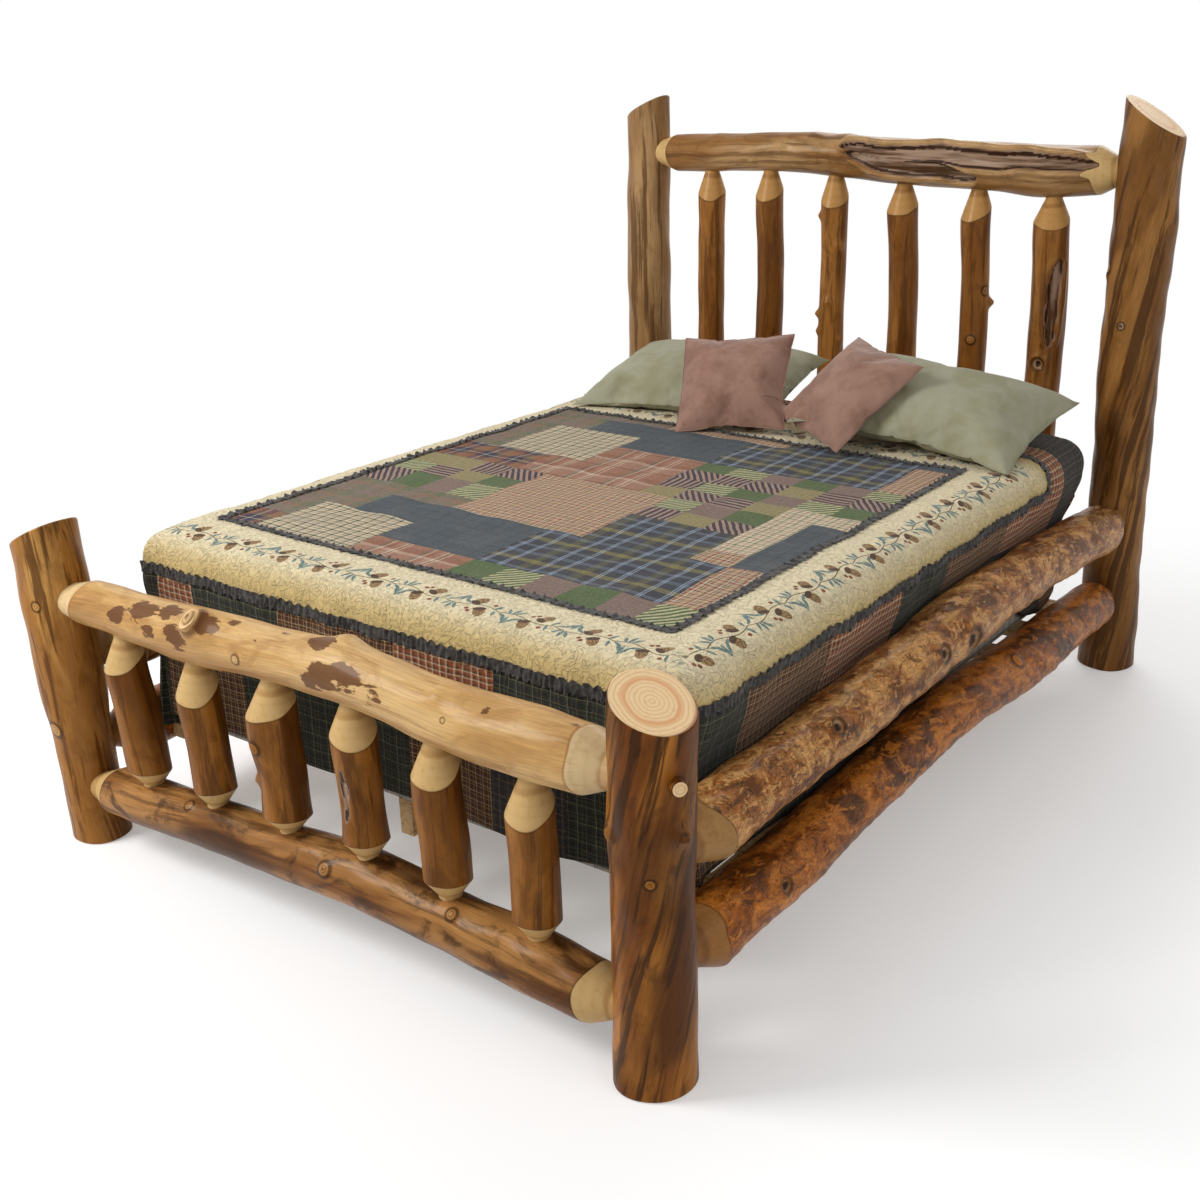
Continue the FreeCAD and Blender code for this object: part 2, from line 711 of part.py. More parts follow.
def board(name, plane_width, plane_length, depth, place):
    """A sawn board as a body: a rectangle on its base plane, centred, padded upwards."""
    body = document.addObject("PartDesign::Body", name)
    sketch = body.newObject("Sketcher::SketchObject", name + "_outline")
    plane = next(item for item in body.Origin.OriginFeatures if item.Role == "XY_Plane")
    sketch.AttachmentSupport = [(plane, "")]
    sketch.MapMode = "FlatFace"
    corners = [Vector(-1, -1, 0), Vector(1, -1, 0), Vector(1, 1, 0), Vector(-1, 1, 0)]
    for first, last in zip(corners, corners[1:] + corners[:1]):
        sketch.addGeometry(Part.LineSegment(first, last), False)
    for line in range(4):
        sketch.addConstraint(Sketcher.Constraint("Coincident", line, 2, (line + 1) % 4, 1))
    for line, kind in enumerate(("Horizontal", "Vertical", "Horizontal", "Vertical")):
        sketch.addConstraint(Sketcher.Constraint(kind, line))
    sketch.addConstraint(Sketcher.Constraint("Symmetric", 0, 1, 1, 2, -1, 1))
    wide = sketch.addConstraint(Sketcher.Constraint("DistanceX", 0, 1, 0, 2, 2.0))
    long = sketch.addConstraint(Sketcher.Constraint("DistanceY", 1, 1, 1, 2, 2.0))
    sketch.setExpression(f"Constraints[{wide}]", plane_width)
    sketch.setExpression(f"Constraints[{long}]", plane_length)
    pad = body.newObject("PartDesign::Pad", name + "_pad")
    pad.Profile = sketch
    bind(pad, Length=depth)
    put(body, "+z", *place)
    return body


for side in POST_SIGNS:
    name = f"slat_ledger_{side}"
    middle = f"{flat_face(side)} {INWARD[side][0]} Sizes.ledger_width / 2"
    plank = board(name + "_plank", "Sizes.ledger_width", "Sizes.ledger_length", "Sizes.ledger_height",
                  (middle, "0", "Sizes.ledger_base"))
    holes = [screw_hole(f"{name}_hole_{number}", OUTWARD[side], place, "Sizes.ledger_width")
             for number, place in enumerate(ledger_screw_places(side))]
    rests = []
    for number in range(SLAT_COUNT):
        rests.append((f"{flat_face(side)} {INWARD[side][0]} Sizes.ledger_width / 2",
                      spread(SLAT_COUNT, "Sizes.slat_span", number),
                      f"{ledger_top} + Sizes.slat_thickness"))
    holes += [screw_hole(f"{name}_slat_hole_{number}", "-z", place, "Sizes.slat_screw_length")
              for number, place in enumerate(rests)]
    keep(cut(name, plank, holes), name)

ledger_screws = []
for side in POST_SIGNS:
    for number, place in enumerate(ledger_screw_places(side)):
        ledger_screws.append(wood_screw(f"ledger_screw_{side}_{number}", OUTWARD[side], place))
keep(group("ledger_screws", ledger_screws), "ledger_screws")

slat_screws = []
for number in range(SLAT_COUNT):
    name = f"slat_{number + 1}"
    line = spread(SLAT_COUNT, "Sizes.slat_span", number)
    plank = board(name + "_plank", "Sizes.slat_length", "Sizes.slat_width", "Sizes.slat_thickness",
                  ("0", line, ledger_top))
    ends = [(f"{flat_face(side)} {INWARD[side][0]} Sizes.ledger_width / 2", line,
             f"{ledger_top} + Sizes.slat_thickness") for side in POST_SIGNS]
    holes = [screw_hole(f"{name}_hole_{place}", "-z", spot, "Sizes.slat_thickness")
             for place, spot in enumerate(ends)]
    keep(cut(name, plank, holes), name)
    slat_screws += [wood_screw(f"{name}_screw_{place}", "-z", spot) for place, spot in enumerate(ends)]
keep(group("slat_screws", slat_screws), "slat_screws")

# Centre beam, legs, glides and their bolts

beam_base = f"({ledger_top} - Sizes.beam_height)"
beam = board("centre_beam_plank", "Sizes.beam_thickness", "Sizes.beam_length", "Sizes.beam_height",
             ("0", "0", beam_base))
bolt_levels = [f"{beam_base} + Sizes.beam_height / 2 {sign} Sizes.leg_bolt_spacing / 2" for sign in "+-"]
bolt_start = "-Sizes.beam_thickness / 2"
bolt_reach = "Sizes.beam_thickness + Sizes.leg_thickness"
leg_bolts, leg_nuts, beam_holes = [], [], []
for number in range(LEG_COUNT):
    name = f"centre_leg_{number + 1}"
    line = spread(LEG_COUNT, "Sizes.leg_spread * 2", number)
    middle = "Sizes.beam_thickness / 2 + Sizes.leg_thickness / 2"
    plank = board(name + "_plank", "Sizes.leg_thickness", "Sizes.leg_width",
                  f"{ledger_top} - Sizes.leg_top_drop - Sizes.glide_height",
                  (middle, line, "Sizes.glide_height"))
    holes = [rod(name + "_stem_hole", "+z", middle, line, "Sizes.glide_height",
                 "Sizes.glide_stem_radius + Sizes.joint_clearance / 2",
                 "Sizes.glide_stem_length + Sizes.mortise_relief")]
    for place, height in enumerate(bolt_levels):
        spot = (bolt_start, line, height)
        bore = ("Sizes.leg_bolt_radius + Sizes.joint_clearance / 2", bolt_reach)
        holes.append(rod(f"{name}_bore_{place}", "+x", *spot, *bore))
        beam_holes.append(rod(f"{name}_beam_bore_{place}", "+x", *spot, *bore))
        dome = cone(f"{name}_dome_{place}", "-x", *spot, "Sizes.leg_bolt_head_radius",
                    "Sizes.leg_bolt_head_radius / 2", "Sizes.leg_bolt_head_height")
        shank = rod(f"{name}_shank_{place}", "+x", *spot, "Sizes.leg_bolt_radius",
                    f"{bolt_reach} + Sizes.nut_height + Sizes.leg_bolt_stand")
        leg_bolts.append(union(f"{name}_bolt_{place}", [dome, shank]))
        nut = document.addObject("Part::Prism", f"{name}_nut_{place}_hex")
        nut.Polygon = 6
        bind(nut, Circumradius="Sizes.nut_radius", Height="Sizes.nut_height")
        nut_face = "Sizes.beam_thickness / 2 + Sizes.leg_thickness"
        put(nut, "+x", nut_face, line, height)
        thread = rod(f"{name}_thread_{place}", "+x", nut_face, line, height,
                     "Sizes.leg_bolt_radius + Sizes.joint_clearance / 2", "Sizes.nut_height")
        leg_nuts.append(cut(f"{name}_nut_{place}", nut, [thread]))
    keep(cut(name, plank, holes), name)
    pad = rod(f"leg_glide_{number + 1}_pad", "+z", middle, line, "0", "Sizes.glide_radius", "Sizes.glide_height")
    stem = rod(f"leg_glide_{number + 1}_stem", "+z", middle, line, "Sizes.glide_height",
               "Sizes.glide_stem_radius", "Sizes.glide_stem_length")
    keep(union(f"leg_glide_{number + 1}", [pad, stem]), f"leg_glide_{number + 1}")
keep(cut("centre_beam", beam, beam_holes), "centre_beam")
keep(group("leg_bolts", leg_bolts), "leg_bolts")
keep(group("leg_nuts", leg_nuts), "leg_nuts")


# Box spring and mattress

def rounded_slab(name, width, length, height, rounding, base):
    """A padded slab with all its edges rounded."""
    body = board(name, width, length, height, ("0", "0", base))
    document.recompute()
    pad = body.Tip
    edges = [f"Edge{number + 1}" for number in range(len(pad.Shape.Edges))]
    fillet = body.newObject("PartDesign::Fillet", name + "_round")
    fillet.Base = (pad, edges)
    bind(fillet, Radius=rounding)
    body.Tip = fillet
    return keep(body, name)


spring_base = f"({ledger_top} + Sizes.slat_thickness)"
mattress_base = f"({spring_base} + Sizes.spring_height)"
rounded_slab("box_spring", "Sizes.spring_width", "Sizes.spring_length", "Sizes.spring_height",
             "Sizes.spring_round", spring_base)
rounded_slab("mattress", "Sizes.mattress_width", "Sizes.mattress_length", "Sizes.mattress_height",
             "Sizes.mattress_round", mattress_base)

# Quilt: a shell through wavy outlines, from the top down to the hem

LEDGER_TOP = size("ledger_base") + size("ledger_height")
MATTRESS_BASE = LEDGER_TOP + size("slat_thickness") + size("spring_height")
MATTRESS_TOP = MATTRESS_BASE + size("mattress_height")
QUILT_TOP = MATTRESS_TOP + size("quilt_gap") + size("quilt_thickness")

# Height as a share of the drop, then the swell and the fold as shares of their sizes
QUILT_LEVEL_SHARES = [
    (1.0, -0.9, 0.02), (0.975, -0.1, 0.03), (0.93, 0.62, 0.06), (0.86, 1.0, 0.15),
    (0.72, 0.8, 0.35), (0.55, 0.0, 0.6), (0.3, 0.0, 0.85), (0.0, 0.0, 1.0),
]
SIDE_WAVES = 4
FOOT_WAVES = 5
# How far a fold pushes the foot drop out, and how round a corner is
FOLD_PUSH_SHARE = 0.5
CORNER_ROUND_SHARE = 0.29


def waved(start, finish, count, depth):
    """A run of shallow arcs that bow outwards, to the right of the way they go."""
    edges = []
    step = (finish - start) / count
    outward = Vector(step.y, -step.x, 0).normalize()
    for number in range(count):
        first = start + step * number
        middle = first + step / 2 + outward * depth * (1 + number % 2) / 2
        edges.append(Part.Arc(first, middle, first + step).toShape())
    return edges


def quilt_outline(height, swell, fold, inset):
    """One level of the quilt seen from above, as a closed wire of arcs and lines."""
    side = size("mattress_width") / 2 + size("quilt_gap") + size("quilt_thickness") - inset
    end = size("mattress_length") / 2 + size("quilt_gap") + size("quilt_thickness") - inset
    half = side + size("quilt_side_swell") * swell
    push = swell if swell < 0 else max(swell, FOLD_PUSH_SHARE * fold)
    foot = -end - size("quilt_foot_swell") * push
    head = end + size("quilt_head_swell") * min(swell, 1)
    corner = size("quilt_fold_width")
    bulge = size("quilt_fold") * fold
    foot_wave, side_wave = size("quilt_wave") * fold, size("quilt_side_wave") * fold
    left_turn = Vector(-half, foot + corner, height)
    left_foot = Vector(-half + corner, foot, height)
    right_foot = Vector(half - corner, foot, height)
    right_turn = Vector(half, foot + corner, height)
    peak = corner * CORNER_ROUND_SHARE
    left_peak = Vector(-half + peak, foot + peak - bulge, height)
    right_peak = Vector(half - peak, foot + peak - bulge, height)
    head_left = Vector(-half, head, height)
    head_right = Vector(half, head, height)
    edges = waved(head_left, left_turn, SIDE_WAVES, side_wave)
    edges.append(Part.Arc(left_turn, left_peak, left_foot).toShape())
    edges += waved(left_foot, right_foot, FOOT_WAVES, foot_wave)
    edges.append(Part.Arc(right_foot, right_peak, right_turn).toShape())
    edges += waved(right_turn, head_right, SIDE_WAVES, side_wave)
    edges.append(Part.LineSegment(head_right, head_left).toShape())
    return Part.Wire(edges)


def quilt_form(inset, top, bottom):
    """The quilt's outer or inner form."""
    wires = []
    for share, swell, fold in QUILT_LEVEL_SHARES:
        wires.append(quilt_outline(bottom + (top - bottom) * share, swell, fold, inset))
    return Part.makeLoft(wires, True, True)


def hem_cutter():
    """What lies below the hem: higher where the sides are lifted and at the head."""
    reach = size("post_across")
    half_length = size("post_along") / 2
    fold_line = size("mattress_length") / 2 - size("quilt_fold_width")
    tail, side_hem, lifted = size("quilt_tail"), size("quilt_side_hem"), size("quilt_lifted_hem")
    head_hem, floor = size("quilt_head_hem"), -size("quilt_thickness")
    hem_shares = [(-1.0, tail), (-0.93, side_hem), (0.14, side_hem), (0.27, lifted), (0.62, lifted),
                  (0.76, side_hem), (0.97, side_hem), (1.0, head_hem)]
    points = [Vector(-reach, -half_length, floor), Vector(-reach, -half_length, tail)]
    points += [Vector(-reach, share * fold_line, height) for share, height in hem_shares]
    points += [Vector(-reach, half_length, head_hem), Vector(-reach, half_length, floor)]
    side_cut = Part.Face(Part.makePolygon(points + points[:1])).extrude(Vector(reach * 2, 0, 0))
    foot_half = size("mattress_width") / 2 - size("quilt_fold_width")
    foot_cut = Part.makeBox(foot_half * 2, half_length, size("quilt_foot_hem") - floor,
                            Vector(-foot_half, -half_length, floor))
    return side_cut.fuse(foot_cut)


quilt_bottom = size("quilt_tail") - size("quilt_thickness")
outer_form = quilt_form(0, QUILT_TOP, quilt_bottom)
inner_form = quilt_form(size("quilt_thickness"), QUILT_TOP - size("quilt_thickness"),
                        quilt_bottom - size("quilt_thickness"))
quilt = document.addObject("Part::Feature", "quilt")
quilt.Shape = outer_form.cut(inner_form).cut(hem_cutter())
keep(quilt, "quilt")

# Pillows: a crowned form whose sides are drawn in between pointed corners

# Height above or below the seam as a share of crown or belly, then the outline's share of the full size
PILLOW_LEVEL_SHARES = [
    (-1.0, 0.30, 0.2), (-0.93, 0.58, 0.35), (-0.66, 0.80, 0.6), (-0.3, 0.93, 0.85), (0.0, 1.0, 1.0),
    (0.3, 0.93, 0.85), (0.66, 0.80, 0.6), (0.93, 0.58, 0.35), (1.0, 0.30, 0.2),
]


def pillow_outline(width, depth, tuck, height):
    """A four-cornered outline whose sides are drawn in by the tuck."""
    corners = [Vector(-width / 2, -depth / 2, height), Vector(width / 2, -depth / 2, height),
               Vector(width / 2, depth / 2, height), Vector(-width / 2, depth / 2, height)]
    edges = []
    for first, last in zip(corners, corners[1:] + corners[:1]):
        middle = (first + last) / 2
        inward = Vector(-middle.x, -middle.y, 0).normalize()
        edges.append(Part.Arc(first, middle + inward * tuck, last).toShape())
    return Part.Wire(edges)


def pillow_form(width, depth, crown, belly, tuck):
    """A stuffed pillow, its seam level with its own origin."""
    wires = []
    for rise, share, drawn in PILLOW_LEVEL_SHARES:
        height = rise * (crown if rise > 0 else belly)
        wires.append(pillow_outline(width * share, depth * share, tuck * drawn * share, height))
    return Part.makeLoft(wires, True, False)


def laid(form, x, y, rise, across, normal):
    """Lay a form with its own X along one direction and its crown towards another."""
    up = Vector(*normal).normalize()
    side = Vector(*across)
    side = (side - up * side.dot(up)).normalize()
    frame = FreeCAD.Matrix(side.x, up.cross(side).x, up.x, x, side.y, up.cross(side).y, up.y, y,
                           side.z, up.cross(side).z, up.z, QUILT_TOP + rise, 0, 0, 0, 1)
    placed = form.copy()
    placed.Placement = Placement(frame)
    return placed


def resting(form, *neighbours):
    """Press a form flat where it rests on the quilt, and clear of its neighbours."""
    floor = QUILT_TOP + size("pillow_gap")
    reach = size("post_across")
    under = Part.makeBox(reach * 2, reach * 2, reach, Vector(-reach, -reach, floor - reach))
    pressed = form.cut(under)
    for other in neighbours:
        middle = other.BoundBox.Center
        grown = other.copy()
        swell = 1 + 2 * size("pillow_gap") / min(other.BoundBox.XLength, other.BoundBox.ZLength)
        grown.scale(swell, middle)
        pressed = pressed.cut(grown)
    return max(pressed.Solids, key=lambda solid: solid.Volume)


pillow = pillow_form(size("pillow_width"), size("pillow_depth"), size("pillow_crown"),
                     size("pillow_belly"), size("pillow_tuck"))
throw = pillow_form(size("throw_side"), size("throw_side"), size("throw_crown"), size("throw_belly"),
                    size("throw_tuck"))

# Directions of each pillow's width and of its crown
PILLOW_SHARES = {
    "pillow_left": ((0.99, 0.11, -0.01), (0.0, -0.2, 0.98)),
    "pillow_right": ((1.0, 0.0, -0.09), (0.09, -0.21, 0.97)),
    "throw_left": ((0.93, 0.34, 0.08), (0.19, -0.68, 0.70)),
    "throw_right": ((0.86, -0.50, -0.08), (-0.27, -0.58, 0.77)),
}


def cushion_form(key, form, *neighbours):
    """One pillow in its place."""
    across, normal = PILLOW_SHARES[key]
    placed = laid(form, size(key + "_x"), size(key + "_y"), size(key + "_rise"), across, normal)
    return resting(placed, *neighbours)


soft_forms = {"pillow_left": cushion_form("pillow_left", pillow),
              "pillow_right": cushion_form("pillow_right", pillow)}
soft_forms["throw_pillow_left"] = cushion_form("throw_left", throw, soft_forms["pillow_left"])
soft_forms["throw_pillow_right"] = cushion_form("throw_right", throw, *soft_forms.values())
for name, form in soft_forms.items():
    cushion = document.addObject("Part::Feature", name)
    cushion.Shape = form
    keep(cushion, name)

# Recompute, check and export

document.recompute()
for thing in document.Objects:
    if "Invalid" in thing.State or "Error" in thing.State:
        raise RuntimeError(f"{thing.Label} failed: {thing.State}")
os.makedirs("parts", exist_ok=True)
for thing in parts:
    if thing.Shape.isNull() or not thing.Shape.isValid() or not thing.Shape.Solids:
        raise RuntimeError(f"{thing.Label} has no valid solid")
    if thing.Shape.Volume <= 0:
        raise RuntimeError(f"{thing.Label} is inside out")
    thing.Shape.exportStep(f"parts/{thing.Label}.step")
    print(f"{thing.Label}: {len(thing.Shape.Solids)} solids, {thing.Shape.Volume / 1e3:.1f} cm3")
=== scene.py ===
import logging
import math
import random
from dataclasses import dataclass
from enum import Enum
from typing import Optional, Sequence, Union

import bmesh
import bpy
import numpy as np
from mathutils import Matrix, Vector
from mathutils.bvhtree import BVHTree


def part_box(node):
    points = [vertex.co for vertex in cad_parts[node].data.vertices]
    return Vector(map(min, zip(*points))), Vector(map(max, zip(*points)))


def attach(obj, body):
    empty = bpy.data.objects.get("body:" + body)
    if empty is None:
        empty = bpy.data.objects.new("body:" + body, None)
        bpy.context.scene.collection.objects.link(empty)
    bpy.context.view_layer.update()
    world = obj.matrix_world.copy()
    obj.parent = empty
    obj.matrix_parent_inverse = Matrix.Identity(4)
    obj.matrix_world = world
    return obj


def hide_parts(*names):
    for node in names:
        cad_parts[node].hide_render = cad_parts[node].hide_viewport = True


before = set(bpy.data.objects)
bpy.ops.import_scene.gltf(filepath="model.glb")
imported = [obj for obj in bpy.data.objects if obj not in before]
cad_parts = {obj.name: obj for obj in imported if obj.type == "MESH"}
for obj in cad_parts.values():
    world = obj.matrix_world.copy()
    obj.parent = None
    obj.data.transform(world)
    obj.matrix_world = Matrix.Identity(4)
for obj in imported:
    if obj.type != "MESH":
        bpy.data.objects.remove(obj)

logger = logging.getLogger("rustic_log_bed")
Array, Shape = np.ndarray, bmesh.types.BMesh
Material, Mesh, NodeTree, Piece = (bpy.types.Material, bpy.types.Mesh, bpy.types.NodeTree, bpy.types.Object)
Pair, Triple = tuple[float, float], tuple[float, float, float]
Stops = dict[float, int]


def tone(code: int) -> tuple[float, float, float, float]:
    """Turn a colour's hex code into a shader's linear colour with full alpha."""
    shares = [byte / 255 for byte in code.to_bytes(3, "big")]
    return (*(share / 12.92 if share <= 0.04045 else ((share + 0.055) / 1.055) ** 2.4
              for share in shares), 1.0)


# Shader trees


class Wire:
    """An output in a shader tree. Python's operators on it add Math nodes."""

    def __init__(self, tree: "Tree", socket: bpy.types.NodeSocket) -> None:
        """Keep the output with its tree."""
        self.tree, self.socket = tree, socket

    def __add__(self, other: "Value") -> "Wire":
        """The sum."""
        return self.tree.maths("ADD", self, other)

    def __sub__(self, other: "Value") -> "Wire":
        """What is left."""
        return self.tree.maths("SUBTRACT", self, other)

    def __rsub__(self, other: float) -> "Wire":
        """What is left of a number."""
        return self.tree.maths("SUBTRACT", other, self)

    def __mul__(self, other: "Value") -> "Wire":
        """The product."""
        return self.tree.maths("MULTIPLY", self, other)

    def __truediv__(self, other: "Value") -> "Wire":
        """The share."""
        return self.tree.maths("DIVIDE", self, other)

    def __pow__(self, other: "Value") -> "Wire":
        """The power."""
        return self.tree.maths("POWER", self, other)

    def __abs__(self) -> "Wire":
        """The size without its sign."""
        return self.tree.maths("ABSOLUTE", self)

    def band(self, low: float, high: float, start: float = 0, end: float = 1) -> "Wire":
        """A smooth step from start at low to end at high."""
        return self.tree.out("MapRange", {0: self, 1: low, 2: high, 3: start, 4: end},
                             interpolation_type="SMOOTHSTEP")

    def ridge(self, level: float, outside: float, inside: float) -> "Wire":
        """A thin line where the value passes a level."""
        return abs(self - level).band(outside, inside)


Value = Union[Wire, float, int, tuple, None]


class Tree:
    """Adds nodes to one shader tree or node group and links them."""

    def __init__(self, tree: NodeTree) -> None:
        """Work on one tree."""
        self.tree = tree

    def feed(self, socket: bpy.types.NodeSocket, value: Value) -> None:
        """Link an input or set it.

        Args:
            socket: The input.
            value: Another node's output, or a plain value. A whole number for a colour is its hex code.
        """
        if isinstance(value, Wire):
            self.tree.links.new(value.socket, socket)
        elif value is not None:
            socket.default_value = tone(value) if socket.type == "RGBA" and isinstance(value, int) else value

    def add(self, kind: str, inputs: Optional[dict] = None, **settings: object) -> bpy.types.Node:
        """Add a node.

        Args:
            kind: The node's type without its ShaderNode prefix.
            inputs: Values or outputs by input name or number.
            settings: The node's own properties.

        Returns:
            The new node.
        """
        node = self.tree.nodes.new("ShaderNode" + kind)
        for name, value in settings.items():
            setattr(node, name, value)
        for name, value in (inputs or {}).items():
            self.feed(node.inputs[name], value)
        return node

    def out(self, kind: str, inputs: Optional[dict] = None, output: Union[int, str] = 0,
            **settings: object) -> Wire:
        """Add a node and take one of its outputs."""
        return Wire(self, self.add(kind, inputs, **settings).outputs[output])

    def maths(self, operation: str, *values: Value) -> Wire:
        """Work out one Math node."""
        return self.out("Math", dict(enumerate(values)), operation=operation)

    def vector(self, operation: str, first: Wire, second: Union[Wire, Triple]) -> Wire:
        """Work out one Vector Math node."""
        return self.out("VectorMath", {0: first, 1: second}, operation=operation)

    def mix(self, first: Value, second: Value, share: Value, blend: str = "MIX") -> Wire:
        """Mix two colours, with the share of the second."""
        return self.out("Mix", {0: share, 6: first, 7: second}, 2, data_type="RGBA", blend_type=blend)

    def noise(self, vector: Wire, scale: Triple, detail: float = 3, roughness: float = 0.5,
              twist: float = 0) -> Wire:
        """A noise value.

        Args:
            vector: Where it is read.
            scale: Its scale along each axis.
            detail: Its octaves.
            roughness: How strong the finer octaves are.
            twist: Its distortion.

        Returns:
            The noise.
        """
        return self.out("TexNoise", {"Vector": self.vector("MULTIPLY", vector, scale), "Scale": 1,
                                     "Detail": detail,
                                     "Roughness": roughness, "Distortion": twist})

    def bend(self, vector: Wire, moved: Wire, scale: Triple, reach: Triple) -> Wire:
        """Move a vector by a slow noise.

        Args:
            vector: Where the noise is read.
            moved: What it moves.
            scale: Its scale along each axis.
            reach: How far it moves along each axis.

        Returns:
            The moved vector.
        """
        drift = self.out("TexNoise", {"Vector": self.vector("MULTIPLY", vector, scale), "Scale": 1,
                                      "Detail": 2}, 1)
        drift = self.vector("SUBTRACT", drift, (0.5, 0.5, 0.5))
        return self.vector("ADD", self.vector("MULTIPLY", drift, reach), moved)

    def axes(self, vector: Wire) -> list[Wire]:
        """A vector's three parts."""
        return [Wire(self, part) for part in self.add("SeparateXYZ", {0: vector}).outputs]

    def ramp(self, value: Wire, stops: Stops) -> Wire:
        """Flat bands of colour, each from its place on."""
        node = self.add("ValToRGB", {0: value})
        bar, places = node.color_ramp, list(stops)
        bar.interpolation = "CONSTANT"
        for element, place in zip(bar.elements, (places[0], places[-1])):
            element.position, element.color = place, tone(stops[place])
        for place in places[1:-1]:
            bar.elements.new(place).color = tone(stops[place])
        return Wire(self, node.outputs[0])

    def group(self, tree: NodeTree, **inputs: Value) -> list[Wire]:
        """Place a node group with its own values and take its outputs in order."""
        node = self.tree.nodes.new("ShaderNodeGroup")
        node.node_tree = tree
        for name, value in inputs.items():
            self.feed(node.inputs[name], value)
        return [Wire(self, output) for output in node.outputs]


class SocketKind(Enum):
    """The kinds of socket that a group has."""

    VALUE = "NodeSocketFloat"
    VECTOR = "NodeSocketVector"
    COLOUR = "NodeSocketColor"


class Group(Tree):
    """A shader node group. A socket's name tells its kind."""

    kinds = (dict.fromkeys("Pale Tan Brown Bark Line Heart Base Core Rim Color Shade".split(),
                           SocketKind.COLOUR)
             | dict.fromkeys(("Grain", "Place"), SocketKind.VECTOR))

    def __init__(self, name: str, inputs: str, outputs: str) -> None:
        """Name the group, its inputs and its outputs."""
        super().__init__(bpy.data.node_groups.new(name, "ShaderNodeTree"))
        for way, labels in (("INPUT", inputs), ("OUTPUT", outputs)):
            for label in labels.split():
                kind = self.kinds.get(label, SocketKind.VALUE)
                self.tree.interface.new_socket(label, in_out=way, socket_type=kind.value)
        entry, leave = self.tree.nodes.new("NodeGroupInput"), self.tree.nodes.new("NodeGroupOutput")
        self.given = [Wire(self, entry.outputs[label]) for label in inputs.split()]
        self.leave = leave

    def give(self, *results: Wire) -> NodeTree:
        """Feed the outputs in order and hand over the group."""
        for socket, result in zip(self.leave.inputs, results):
            self.feed(socket, result)
        return self.tree


